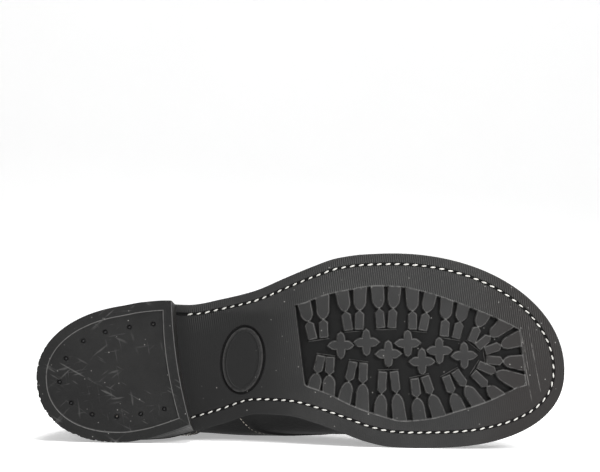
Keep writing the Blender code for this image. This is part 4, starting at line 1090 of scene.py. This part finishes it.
# The last is a row of rings from the welt to the collar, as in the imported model.
last = {
    "wall": 2.0 * mm, "quarterStep": 1.2 * mm, "cuffStep": 1.6 * mm, "throatGap": 0.019, "throatPower": 0.6,
    "throatRing": 7.0, "throatWideRing": 8.6, "cuffRing": 13.6,
    "heelPower": 2.15, "toeReachInner": 0.86, "waistShaft": 0.30, "seamRun": 0.006,
}
lastRows = table("along outer inner", [
    (0.000, 0.330, 0.288), (0.200, 0.330, 0.298), (0.300, 0.350, 0.312), (0.400, 0.390, 0.328),
    (0.500, 0.445, 0.332), (0.600, 0.520, 0.338), (0.680, 0.548, 0.346), (1.000, 0.548, 0.346),
])
ringRows = table("ring back riseBack front riseFront foot shaft toeRound heelRound", [
    (0, 0.0150, 0.000, 0.9770, 0.000, 0.00, 0.00, 0.310, 0.190),
    (1, 0.0130, 0.133, 0.9830, 0.095, 0.55, 0.00, 0.312, 0.190),
    (2, 0.0118, 0.276, 0.9800, 0.255, 0.90, 0.00, 0.315, 0.190),
    (3, 0.0116, 0.429, 0.9600, 0.405, 1.00, 0.02, 0.420, 0.185),
    (4, 0.0126, 0.569, 0.9200, 0.525, 1.00, 0.06, 0.560, 0.180),
    (5, 0.0158, 0.701, 0.8640, 0.615, 1.00, 0.12, 0.650, 0.175),
    (6, 0.0212, 0.820, 0.7990, 0.672, 1.00, 0.20, 0.645, 0.170),
    (7, 0.0280, 0.932, 0.7300, 0.752, 1.00, 0.30, 0.520, 0.165),
    (8, 0.0360, 1.048, 0.6610, 0.858, 1.00, 0.42, 0.420, 0.160),
    (9, 0.0430, 1.177, 0.5960, 1.000, 1.00, 0.56, 0.355, 0.158),
    (10, 0.0480, 1.308, 0.5400, 1.150, 1.00, 0.72, 0.290, 0.157),
    (11, 0.0490, 1.431, 0.4940, 1.310, 1.00, 0.86, 0.245, 0.157),
    (12, 0.0475, 1.560, 0.4600, 1.480, 1.00, 0.95, 0.212, 0.160),
    (13, 0.0430, 1.683, 0.4380, 1.650, 1.00, 1.00, 0.196, 0.165),
    (14, 0.0370, 1.814, 0.4250, 1.830, 1.00, 1.00, 0.190, 0.170),
    (15, 0.0310, 1.967, 0.4190, 2.000, 1.00, 1.00, 0.187, 0.172),
    (16, 0.0280, 2.078, 0.4180, 2.140, 1.00, 1.00, 0.187, 0.172),
])
# how far round each edge is at a ring: 0 behind the heel, 1 in front
quarterSeam = table("ring share", [
    (0.0, 0.420), (1.5, 0.440), (3.0, 0.502), (4.5, 0.622), (6.0, 0.785), (7.0, 0.895), (9.0, 0.860),
    (15.0, 0.840),
])
counterTop = table("ring share", [
    (0.0, 0.372), (2.0, 0.355), (4.0, 0.300), (5.3, 0.222), (6.1, 0.150), (6.5, 0.075),
])
tongueRows = table("ring share", [(5.6, 0.160), (6.4, 0.216), (7.2, 0.270), (15.0, 0.270), (15.7, 0.200)])


@lru_cache(None)
def ringAt(ring):
    row = type(ringRows[0])
    return row(ring, *[smoothTable(ringRows, "ring", column, ring) for column in row._fields[1:]])


@lru_cache(None)
def soleShares(share, column):
    return (smoothTable(soleRows, "along", column, share), smoothTable(soleRows, "along", "ledge", share),
            smoothTable(lastRows, "along", column, share))


def halfWidthAt(share, side, row):
    back, front = row.back * boot["length"], row.front * boot["length"]
    x = back + (front - back) * share
    toeReach, toePower = row.toeRound * boot["length"], 2.0
    if side > 0:
        slim = min(1.0, row.shaft / last["waistShaft"])
        toeReach *= last["toeReachInner"] + (1 - last["toeReachInner"]) * slim
        toePower += (boot["toePowerInner"] - 2.0) * (1 - row.shaft)
    edge, ledge, lastWide = soleShares(round(x / boot["length"], 6), "outer" if side < 0 else "inner")
    ankle = boot["ankleWidth"] * (boot["ankleLateral"] if side < 0 else 1 - boot["ankleLateral"])
    foot = (edge - ledge + (lastWide - edge + ledge) * row.foot) * boot["ballWidth"]
    wide = foot + (ankle - foot) * row.shaft
    wide *= roundEnd(x - back, row.heelRound * boot["length"], last["heelPower"])
    return wide * roundEnd(front - x, toeReach, toePower)


def throatGap(ring):
    if ring <= last["throatRing"]:
        return 0.0
    share = (ring - last["throatRing"]) / (last["throatWideRing"] - last["throatRing"])
    return last["throatGap"] * min(1.0, share) ** last["throatPower"]


@lru_cache(None)
def frontShare(ring, side):
    gap = throatGap(ring) / 2
    if gap == 0.0:
        return 1.0
    low, high, row = 0.5, 1.0, ringAt(ring)
    for _ in range(30):
        middle = (low + high) / 2
        low, high = (middle, high) if halfWidthAt(middle, side, row) > gap else (low, middle)
    return low


def shareAt(ring, around, side, closed):
    return (1.0 if closed else frontShare(ring, side)) * (1 - cos(pi * abs(around))) / 2


def placeOn(ring, share, side):
    row = ringAt(ring)
    x = (row.back + (row.front - row.back) * share) * boot["length"]
    rise = row.riseBack + (row.riseFront - row.riseBack) * share
    base = treadHeight(x) + boot["outsole"] + boot["gap"] + boot["welt"] + boot["feather"]
    z = base + rise * (boot["collar"] - base) / 2
    z += (boot["instep"] - (base + boot["collar"]) / 2) * rise * (2 - rise)
    return Vector((x, side * halfWidthAt(share, side, row), z))


@lru_cache(None)
def surface(ring, around, closed=False):
    side = 1 if around >= 0 else -1
    return placeOn(ring, shareAt(ring, around, side, closed), side)


@lru_cache(None)
def surfaceNormal(ring, around, closed=False):
    step, rise = 0.004, 0.05
    side = 1 if around >= 0 else -1
    share = shareAt(ring, around, side, closed)
    up = placeOn(min(ring + rise, 16.0), share, side) - placeOn(max(ring - rise, 0.0), share, side)
    ahead, behind = surface(ring, min(around + step, 1.0), closed), surface(ring, max(around - step, -1.0), closed)
    normal = up.cross(ahead - behind)
    normal.z *= min(1.0, ring)
    if abs(around) > 1 - step and (closed or throatGap(ring) == 0.0):
        normal.y = 0.0
    return normal.normalized()


def shifted(ring, around, offset, closed=False):
    return surface(ring, around, closed) + surfaceNormal(ring, around, closed) * offset


def seamAt(rows, ring):
    return smoothTable(rows, "ring", "share", ring)


def ease(value):
    value = min(max(value, 0.0), 1.0)
    return value * value * (3 - 2 * value)


def standOff(ring, around):
    # how far the outside stands off the last: quarters lie over the vamp, the cuff over them
    front = 1 - ease((abs(around) - seamAt(quarterSeam, ring)) / last["seamRun"])
    out = last["quarterStep"] * max(front, ease((ring - last["throatRing"] + 0.05) / 0.1))
    cuff = ease((ring - last["cuffRing"] + 0.07) / 0.07)
    roll = 1 - 0.6 * max(0.0, (ring - 14.1) / 0.9) ** 2
    return out + last["cuffStep"] * cuff * roll


# The folds, one by one: both ends of each as ring and way round, then its width and depth.
folds = table("ring around endRing endAround width depth", [
    (2.9, -0.660, 4.9, -0.960, 3.2 * mm, 0.75 * mm), (4.9, -0.960, 4.95, 0.960, 3.0 * mm, 0.50 * mm),
    (4.95, 0.960, 3.0, 0.700, 3.0 * mm, 0.65 * mm), (2.6, -0.600, 5.3, -0.900, 3.4 * mm, 0.70 * mm),
    (5.5, -0.930, 5.5, 0.930, 3.0 * mm, 0.55 * mm), (2.7, 0.640, 5.2, 0.880, 3.2 * mm, 0.55 * mm),
    (2.2, -0.560, 3.7, -0.700, 3.6 * mm, 0.50 * mm), (3.6, -0.745, 4.4, -0.880, 2.4 * mm, 0.35 * mm),
    (8.0, -0.420, 8.9, -0.780, 4.2 * mm, 0.80 * mm), (9.3, -0.300, 9.8, -0.760, 4.0 * mm, 0.85 * mm),
    (10.6, -0.360, 10.7, -0.740, 3.8 * mm, 0.55 * mm), (8.1, 0.440, 8.9, 0.770, 4.2 * mm, 0.75 * mm),
    (9.2, 0.320, 9.7, 0.740, 4.0 * mm, 0.80 * mm), (10.5, 0.380, 10.8, 0.720, 3.8 * mm, 0.50 * mm),
    (8.6, -0.060, 8.9, -0.300, 4.5 * mm, 0.60 * mm), (8.5, 0.060, 8.9, 0.300, 4.5 * mm, 0.60 * mm),
    (10.0, -0.120, 10.1, 0.140, 5.0 * mm, 0.55 * mm), (11.9, -0.500, 12.2, -0.760, 4.0 * mm, 0.35 * mm),
])


def foldLine(fold, steps=14):
    line = []
    for i in range(steps + 1):
        t = i / steps
        a, b = fold.around, fold.endAround
        if a * b < 0 and abs(a) > 0.5:      # over the ridge and not round the heel
            gone = ((1 - abs(a)) + (1 - abs(b))) * t
            if gone < 1 - abs(a):
                around = (abs(a) + gone) * (1 if a > 0 else -1)
            else:
                around = (1 - (gone - 1 + abs(a))) * (1 if b > 0 else -1)
        else:
            around = a + (b - a) * t
        ring = fold.ring + (fold.endRing - fold.ring) * t + 0.10 * sin(pi * t)
        line.append(tuple(surface(ring, around)))
    return np.array(line)


def lineDistance(points, line):
    # distance to a line in space, and how far along it the nearest place is, from 0 to 1
    first, edge = line[:-1], line[1:] - line[:-1]
    away = points[:, None, :] - first
    t = np.clip((away * edge).sum(-1) / np.maximum((edge**2).sum(-1), 1e-18), 0, 1)
    gap = np.linalg.norm(away - t[..., None] * edge, axis=-1)
    nearest = gap.argmin(1)
    return gap.min(1), (nearest + t[np.arange(len(points)), nearest]) / len(first)


def foldedDepth(points):
    depth = np.zeros(len(points))
    for fold in folds:
        gap, along = lineDistance(points, foldLine(fold))
        fade = np.sin(np.pi * np.clip(along, 0.02, 0.98)) ** 0.6
        ridge = np.exp(-((gap - 2.1 * fold.width) / (0.9 * fold.width)) ** 2)
        trough = np.exp(-(gap / fold.width) ** 2) - 0.55 * ridge
        depth -= fold.depth * fade * trough
    return depth


# stitched lines of the upper: at a distance from an edge, as ring and way round
seams = {"channel": 0.28 * mm, "edge": 2.2 * mm, "apart": 2.6 * mm}
upperThread = {"Pitch": 2.6 * mm, "Length": 2.0 * mm, "Width": 0.55 * mm, "Height": 0.55 * mm}


def perAround(ring, around):
    # metres of wall for a whole unit of the way round, near a place
    side = 1 if around >= 0 else -1
    a, b = min(abs(around) + 0.01, 0.995), max(abs(around) - 0.01, 0.0)
    return (surface(ring, side * a) - surface(ring, side * b)).length / (a - b)


def quarterSeamLine(side, distance, first=0.25, lastRing=6.8, steps=60):
    line = []
    for i in range(steps + 1):
        ring = first + (lastRing - first) * i / steps
        around = seamAt(quarterSeam, ring)
        line.append((ring, side * (around - distance / perAround(ring, side * around))))
    return line


def besideThroat(ring, side, distance):
    near, far = 0.90, 0.99
    length = (surface(ring, side * near) - surface(ring, side * far)).length / (far - near)
    return side * (0.985 - distance / length)


def upperSeams():
    lines = [quarterSeamLine(side, seams["edge"]) for side in (-1, 1)]
    for drop in (0.22, 0.42):
        lines.append([(last["cuffRing"] + drop, -0.975 + 1.95 * i / 120) for i in range(121)])
    return lines


upperLook = {"behind": 46, "front": 50, "rowsPerRing": 7}


def upperGrid():
    rings = [i / upperLook["rowsPerRing"] for i in range(15 * upperLook["rowsPerRing"] + 1)]
    for step in (last["throatRing"], last["cuffRing"]):
        rings = [ring for ring in rings if abs(ring - step) > 0.1]
        rings += [step - 0.09, step - 0.07, step - 0.045, step - 0.02, step, step + 0.06]
    rings = sorted(rings)
    seamSteps = [0.0, 0.12, 0.3, 0.5, 0.7, 0.88, 1.0]
    grid = []
    for ring in rings:
        seam = seamAt(quarterSeam, ring)
        start = seam + last["seamRun"]
        half = [seam * i / upperLook["behind"] for i in range(upperLook["behind"])]
        half += [seam + last["seamRun"] * s for s in seamSteps]
        half += [start + (1 - start) * i / upperLook["front"] for i in range(1, upperLook["front"] + 1)]
        grid.append([(ring, -a) for a in half[:0:-1]] + [(ring, a) for a in half])
    return rings, grid


def bevelled(piece, width, segments):
    bevel = piece.modifiers.new("softEdge", "BEVEL")
    bevel.width, bevel.segments, bevel.limit_method, bevel.angle_limit = width, segments, "ANGLE", radians(50)
    shown = piece.evaluated_get(bpy.context.evaluated_depsgraph_get())
    mesh = bpy.data.meshes.new_from_object(shown)
    piece.modifiers.clear()
    piece.data = mesh
    return piece


def wallSheet(outer, inner, openBetween=None):
    # a wall between two grids, with rims; finish 0 outside, 1 inside, 2 on the rims
    rows, columns = outer.shape[:2]
    vertices = list(outer.reshape(-1, 3)) + list(inner.reshape(-1, 3))
    lift, faces, painted = rows * columns, [], []
    for i in range(rows - 1):
        for j in range(columns - 1):
            a, b, c, d = i * columns + j, i * columns + j + 1, (i + 1) * columns + j + 1, (i + 1) * columns + j
            faces += [(a, b, c, d), (lift + d, lift + c, lift + b, lift + a)]
            painted += [0, 1]
        if openBetween is None or openBetween[i]:
            for j in (0, columns - 1):
                a, d = i * columns + j, (i + 1) * columns + j
                faces.append((a, d, lift + d, lift + a))
                painted.append(2)
    for i in (0, rows - 1):
        for j in range(columns - 1):
            a, b = i * columns + j, i * columns + j + 1
            faces.append((a, b, lift + b, lift + a))
            painted.append(2)
    return vertices, faces, painted


def leatherPiece(name, outer, inner, replaced, bevel=0.4 * mm, segments=2, outside="blackLeather", lined=True,
                 openBetween=None):
    vertices, faces, painted = wallSheet(outer, inner, openBetween)
    if not lined:
        painted = [0 if index == 1 else index for index in painted]
    skins = [finishes[outside], finishes["lining"], finishes["cutEdge"]]
    mesh = meshOf(name, vertices, faces, skins, painted)
    piece = bevelled(addPiece(name, finishMesh(mesh, 42)), bevel, segments)
    piece.data.set_sharp_from_angle(angle=radians(60))
    return dress(piece, replaced)


def onUpper(grid):
    # for places given as ring and way round: rings, points, directions outwards, step of the wall, slackness
    flat = [place for row in grid for place in row]
    base = np.array([surface(*place) for place in flat])
    out = np.array([surfaceNormal(*place) for place in flat])
    lift = np.array([standOff(*place) for place in flat])
    slack = np.array([noise.noise(Vector(p) * 26) * 0.45 * mm + noise.noise(Vector(p) * 70) * 0.16 * mm for p in base])
    return [ring for ring, _ in flat], base, out, lift, slack


def atFeather(rings):
    # 1 at the welt, 0 a little above it
    return np.array([max(0.0, 1 - ring / 0.14) for ring in rings])


def buildUpper():
    rings, grid = upperGrid()
    flatRings, base, out, lift, slack = onUpper(grid)
    fade = np.array([ease(ring / 1.2) * ease((14.6 - ring) / 0.8) for ring in flatRings])
    depth = foldedDepth(base) * fade
    slack = slack * fade
    for line in upperSeams():
        gap, _ = lineDistance(base, np.array([surface(*place) for place in line]))
        depth -= seams["channel"] * np.exp(-(gap / (0.9 * mm)) ** 2)
    outer = base + out * (lift + depth + slack)[:, None]
    outer[:, 2] -= atFeather(flatRings) * (boot["feather"] + 0.15 * mm)
    inner = base + out * (-last["wall"] + (depth + slack) * 0.6)[:, None]
    shape = (len(rings), len(grid[0]), 3)
    outer, inner = outer.reshape(shape), inner.reshape(shape)
    for i, ring in enumerate(rings):
        if ring <= last["throatRing"]:
            for sheet in (outer, inner):
                sheet[i, 0] = sheet[i, -1] = (sheet[i, 0] + sheet[i, -1]) / 2
    openBetween = [high > last["throatRing"] for high in rings[1:]]
    leatherPiece("upperLeather", outer, inner, ("upper",), 0.55 * mm, openBetween=openBetween)


overlays = {
    "under": 0.05 * mm, "thick": 1.55 * mm, "counterTopRing": 6.5, "counterRows": 52, "counterColumns": 36,
    "stayWidth": 21 * mm, "stayFirst": 7.5, "stayLast": 13.42, "stayRows": 60, "stayColumns": 16,
    "sewnFirst": 7.62, "sewnRun": 5.7, "throatEdge": 1.6 * mm,
}


def layerOnUpper(name, grid, replaced, lowerEdge=False):
    # a layer of leather on the upper, through places given as ring and way round
    rings, base, out, lift, slack = onUpper(grid)
    fade = np.array([ease(ring / 1.2) for ring in rings])
    depth = foldedDepth(base) * fade * 0.8
    slack = slack * fade
    sheets = []
    for height in (overlays["thick"], overlays["under"]):
        sheet = base + out * (lift + depth + slack + height)[:, None]
        if lowerEdge:
            sheet[:, 2] -= atFeather(rings) * boot["feather"]
        sheets.append(sheet.reshape(len(grid), len(grid[0]), 3))
    return leatherPiece(name, *sheets, replaced, lined=False)


def buildCounter():
    grid = []
    rows, columns = overlays["counterRows"], overlays["counterColumns"]
    for i in range(rows + 1):
        ring = overlays["counterTopRing"] * i / rows
        edge = seamAt(counterTop, ring)
        grid.append([(ring, edge * j / columns) for j in range(-columns, columns + 1)])
    layerOnUpper("counter", grid, ("heel_counter",), lowerEdge=True)
    low, high, steps = 0.25, 6.2, 60
    lines = []
    for distance in (seams["edge"], seams["edge"] + seams["apart"]):
        half = []
        for i in range(steps):
            ring = low + (high - low) * i / (steps - 1)
            half.append((ring, max(seamAt(counterTop, ring) - distance / perAround(ring, 0.2), 0.0)))
        top = half[-1][1]
        over = [(high, top * (i / 8 - 1)) for i in range(1, 16)]
        lines.append([(ring, -around) for ring, around in half] + over + half[::-1])
    return lines


def buildStays():
    lines = []
    rows, columns, width = overlays["stayRows"], overlays["stayColumns"], overlays["stayWidth"]
    for side, name, node in ((-1, "stayOuter", "eyestay_lateral"), (1, "stayInner", "eyestay_medial")):
        grid = []
        for i in range(rows + 1):
            ring = overlays["stayFirst"] + (overlays["stayLast"] - overlays["stayFirst"]) * i / rows
            rear, front = besideThroat(ring, side, width), besideThroat(ring, side, 0.0)
            row = [(ring, rear + (front - rear) * j / columns) for j in range(columns + 1)]
            grid.append(row[::side])
        layerOnUpper(name, grid, (node,))
        sewn = [overlays["sewnFirst"] + overlays["sewnRun"] * i / rows for i in range(rows + 1)]
        for distance in (width - seams["edge"], width - seams["edge"] - seams["apart"], overlays["throatEdge"]):
            lines.append([(ring, besideThroat(ring, side, distance)) for ring in sewn])
    return lines


def sewUpper(counterLines, stayLines):
    def standing(line, extra):
        return [tuple(shifted(ring, around, standOff(ring, around) + extra)) for ring, around in line]

    paths = [standing(line, -0.05 * mm) for line in upperSeams()]
    paths += [standing(line, overlays["thick"] + 0.1 * mm) for line in counterLines + stayLines]
    mesh = stitches.grow("upperStitches", linesMesh("upperSeams", paths), finishes["paleThread"], **upperThread)
    setPiece("upperStitches", mesh, 80)


tongue = {"first": 5.6, "run": 10.1, "rows": 90, "half": 14, "clear": 2.3 * mm, "thick": 2.4 * mm, "round": 0.8 * mm}


def buildTongue():
    outer, inner = [], []
    for i in range(tongue["rows"] + 1):
        ring = tongue["first"] + tongue["run"] * i / tongue["rows"]
        reach = smoothTable(tongueRows, "ring", "share", ring)
        columns = range(-tongue["half"], tongue["half"] + 1)
        line = [(1 - reach * abs(j / tongue["half"])) * (1 if j >= 0 else -1) for j in columns]
        low = -last["wall"] - tongue["clear"]
        outer.append([shifted(ring, around, low, True) for around in line])
        inner.append([shifted(ring, around, low - tongue["thick"], True) for around in line])
    leatherPiece("tongueLeather", np.array(outer), np.array(inner), ("tongue",), tongue["round"], 3, "softLeather")


buildUpper()
print("upper lasted")
counterLines = buildCounter()
stayLines = buildStays()
sewUpper(counterLines, stayLines)
buildTongue()
print("counter, eyestays and tongue sewn")

# eyelets and lace
lacing = {
    "pairs": 7, "firstRing": 7.95, "lastRing": 13.10, "seat": 2.85 * mm, "hole": 2.3 * mm, "flange": 4.6 * mm,
    "height": 1.25 * mm, "cord": 1.45 * mm,
}


def eyeletRings():
    step = (lacing["lastRing"] - lacing["firstRing"]) / (lacing["pairs"] - 1)
    return [lacing["firstRing"] + step * i for i in range(lacing["pairs"])]


def eyeletTree():
    number = "NodeSocketFloat"
    tree = Tree("eyeletsOnSpots", {
        "Hole": (number, 2.3 * mm), "Flange": (number, 4.6 * mm), "Flatness": (number, 0.55),
        "Finish": ("NodeSocketMaterial", None),
    })
    hole, flange = tree.value("Hole"), tree.value("Flange")
    middle = tree.maths("MULTIPLY", tree.maths("ADD", hole, flange), 0.5)
    half = tree.maths("MULTIPLY", tree.maths("SUBTRACT", flange, hole), 0.5)
    path = tree.node("GeometryNodeCurvePrimitiveCircle", None, {"Resolution": 32, "Radius": middle})
    profile = tree.node("GeometryNodeCurvePrimitiveCircle", None, {"Resolution": 10, "Radius": half})
    ring = tree.node("GeometryNodeCurveToMesh", None, {"Curve": path, "Profile Curve": profile})
    scale = tree.node("ShaderNodeCombineXYZ", None, {"X": 1.0, "Y": 1.0, "Z": tree.value("Flatness")})
    flat = tree.node("GeometryNodeTransform", None, {"Geometry": ring, "Scale": scale})
    facing = tree.node("GeometryNodeInputNamedAttribute", {"data_type": "FLOAT_VECTOR"}, {"Name": "facing"})
    turn = tree.node("FunctionNodeAlignRotationToVector", {"axis": "Z"}, {"Vector": facing})
    return tree.end(tree.node("GeometryNodeInstanceOnPoints", None,
                              {"Points": tree.value("Geometry"), "Instance": flat, "Rotation": turn}))


def buildEyelets():
    spots, facing = [], []
    for ring in eyeletRings():
        for side in (-1, 1):
            around = besideThroat(ring, side, overlays["stayWidth"] / 2)
            spots.append(tuple(shifted(ring, around, lacing["seat"] + 0.25 * mm)))
            facing.append(tuple(surfaceNormal(ring, around)))
    mesh = bpy.data.meshes.new("eyeletSpots")
    mesh.from_pydata(spots, [], [])
    layer = mesh.attributes.new("facing", "FLOAT_VECTOR", "POINT")
    layer.data.foreach_set("vector", np.array(facing, np.float32).ravel())
    sizes = {"Hole": lacing["hole"], "Flange": lacing["flange"]}
    result = eyeletTree().grow("eyelets", mesh, finishes["blackMetal"], **sizes)
    numbers = range(1, lacing["pairs"] + 1)
    nodes = ["eyelet_%s_%d" % (word, number) for number in numbers for word in ("lateral", "medial")]
    setPiece("eyelets", result, 60, nodes)


def cordTree():
    number = "NodeSocketFloat"
    tree = Tree("cordsAlongLines", {"Radius": (number, 1.4 * mm), "Finish": ("NodeSocketMaterial", None)})
    line = tree.node("GeometryNodeMeshToCurve", None, {0: tree.value("Geometry")})
    length = tree.node("GeometryNodeSplineParameter")
    kept = tree.node("GeometryNodeCaptureAttribute", None, {"Geometry": line})
    kept.capture_items.new("FLOAT", "Along")
    tree.tree.links.new(length.outputs["Length"], kept.inputs["Along"])
    profile = tree.node("GeometryNodeCurvePrimitiveCircle", None,
                        {"Resolution": 10, "Radius": tree.value("Radius")})
    share = tree.node("GeometryNodeSplineParameter")
    keptRound = tree.node("GeometryNodeCaptureAttribute", None, {"Geometry": profile})
    keptRound.capture_items.new("FLOAT", "Round")
    tree.tree.links.new(share.outputs["Factor"], keptRound.inputs["Round"])
    tube = tree.node("GeometryNodeCurveToMesh", None,
                     {"Curve": kept, "Profile Curve": keptRound, "Fill Caps": True})
    stored = tree.node("GeometryNodeStoreNamedAttribute", {"data_type": "FLOAT", "domain": "POINT"},
                       {"Geometry": tube, "Name": "alongCord", "Value": kept.outputs["Along"]})
    stored = tree.node("GeometryNodeStoreNamedAttribute", {"data_type": "FLOAT", "domain": "POINT"},
                       {"Geometry": stored, "Name": "roundCord", "Value": keptRound.outputs["Round"]})
    return tree.end(stored)


def throughPoints(points, steps=7):
    # a smooth line through points (Catmull-Rom)
    line = []
    full = [points[0] * 2 - points[1]] + points + [points[-1] * 2 - points[-2]]
    for a, b, c, d in zip(full, full[1:], full[2:], full[3:]):
        for i in range(steps):
            t = i / steps
            bend, twist = a * 2 - b * 5 + c * 4 - d, b * 3 - a - c * 3 + d
            line.append(0.5 * (b * 2 + (c - a) * t + bend * t**2 + twist * t**3))
    return line + [points[-1]]


def lacePaths():
    stay = overlays["stayWidth"] / 2
    top = lacing["seat"] + lacing["height"] + lacing["cord"] * 0.9

    def at(ring, side, forward, height):
        return shifted(ring, besideThroat(ring, side, stay - forward), height)

    # from the hole towards the middle: how far, and how high over the wall
    overRoute = ((0, -1.5 * mm), (0.2 * mm, 3.2 * mm), (2.2 * mm, top + 0.5 * mm), (5.5 * mm, top - 0.1 * mm),
                 (9.6 * mm, top - 1.3 * mm))
    underRoute = ((0, -2.6 * mm), (3.5 * mm, -3.3 * mm), (9.8 * mm, -3.3 * mm))

    def over(ring, side):
        return [at(ring, side, *step) for step in overRoute]

    def under(ring, side):
        return [at(ring, side, *step) for step in underRoute]

    rings = eyeletRings()
    paths = [under(rings[0], -1) + under(rings[0], 1)[::-1]]
    for number, (low, high) in enumerate(zip(rings, rings[1:])):
        for side in (-1, 1):
            start = over(low, side)
            finish = (over(high, -side) if number == len(rings) - 2 else under(high, -side))[::-1]
            up = surfaceNormal((low + high) / 2, 0.99 * side, True)
            sign = 1 if (number + (side > 0)) % 2 else -1
            middle = (start[-1] + finish[0]) / 2 + up * (sign * 1.5 * mm + 0.4 * mm)
            paths.append(start + [middle] + finish)
    return [throughPoints(path) for path in paths]


def buildLace():
    lines = linesMesh("lacePaths", lacePaths())
    mesh = cordTree().grow("laceCord", lines, finishes["braid"], Radius=lacing["cord"])
    setPiece("laceCord", mesh, 60, ("lace",))


buildEyelets()
buildLace()
print("laced")

for slot in frame["nodes"]["insole"].material_slots:
    slot.material = finishes["board"]


# floor, light and camera
studio = {
    "lens": 105.9, "lookUp": radians(2.5), "roll": radians(0.9935), "place": (-0.0026, -1.0979, 0.0749),
    "surroundings": 0.30, "sweepGlow": 0.38, "sweepHalf": 6, "sweepBend": 1.2, "sweepBack": 1.6,
}


def setCamera():
    camera = bpy.data.objects.new("camera", bpy.data.cameras.new("camera"))
    bpy.context.scene.collection.objects.link(camera)
    camera.data.lens, camera.data.sensor_width = studio["lens"], 36
    look = Vector((0, cos(studio["lookUp"]), sin(studio["lookUp"])))
    turn = look.to_track_quat("-Z", "Y").to_matrix().to_4x4() @ Matrix.Rotation(studio["roll"], 4, "Z")
    camera.matrix_world = Matrix.Translation(studio["place"]) @ turn
    bpy.context.scene.camera = camera


def addLight(name, place, target, width, power):
    lamp = bpy.data.objects.new(name, bpy.data.lights.new(name, "AREA"))
    lamp.data.energy, lamp.data.size, lamp.data.shape = power, width, "DISK"
    lamp.location = place
    lamp.rotation_euler = (Vector(target) - Vector(place)).to_track_quat("-Z", "Y").to_euler()
    bpy.context.scene.collection.objects.link(lamp)


def setStudio():
    paint = Paint("paleSweep", Roughness=0.9, Specular_IOR_Level=0.05, Emission_Color=(1, 1, 1, 1),
                  Emission_Strength=studio["sweepGlow"])
    paint.colour(paint.mix(paint.noise(3, 2), (0.90, 0.90, 0.90), (0.93, 0.93, 0.93)))
    back, bend, half = studio["sweepBack"], studio["sweepBend"], studio["sweepHalf"]
    angles = [pi / 2 * i / 12 for i in range(1, 13)]
    profile = [(-4, 0), (back, 0)] + [(back + bend * sin(angle), bend - bend * cos(angle)) for angle in angles]
    profile.append((back + bend, 5))
    sweep = bpy.data.meshes.new("floorSweep")
    sweep.from_pydata([(x, y, z) for y, z in profile for x in (-half, half)], [],
                      [(2 * i, 2 * i + 1, 2 * i + 3, 2 * i + 2) for i in range(len(profile) - 1)])
    sweep.materials.append(paint.material)
    sweep.shade_smooth()
    addPiece("floorSweep", sweep)
    bpy.context.scene.view_settings.view_transform = "Standard"
    world = bpy.data.worlds.new("studio")
    bpy.context.scene.world = world
    world.use_nodes = True
    world.node_tree.nodes["Background"].inputs[0].default_value = (1, 1, 1, 1)
    world.node_tree.nodes["Background"].inputs[1].default_value = studio["surroundings"]
    addLight("key", (0.75, -1.15, 0.75), (0.05, -0.1, 0.05), 0.45, 16)
    addLight("above", (0.1, -0.4, 1.35), (0, -0.2, 0.0), 0.8, 18)
    addLight("fill", (-0.7, -1.3, 0.6), (0, -0.1, 0.05), 0.8, 3)
    addLight("behind", (0.3, 1.3, 1.4), (0, 0.0, 0.05), 1.0, 12)


setCamera()
setStudio()
print("studio set")
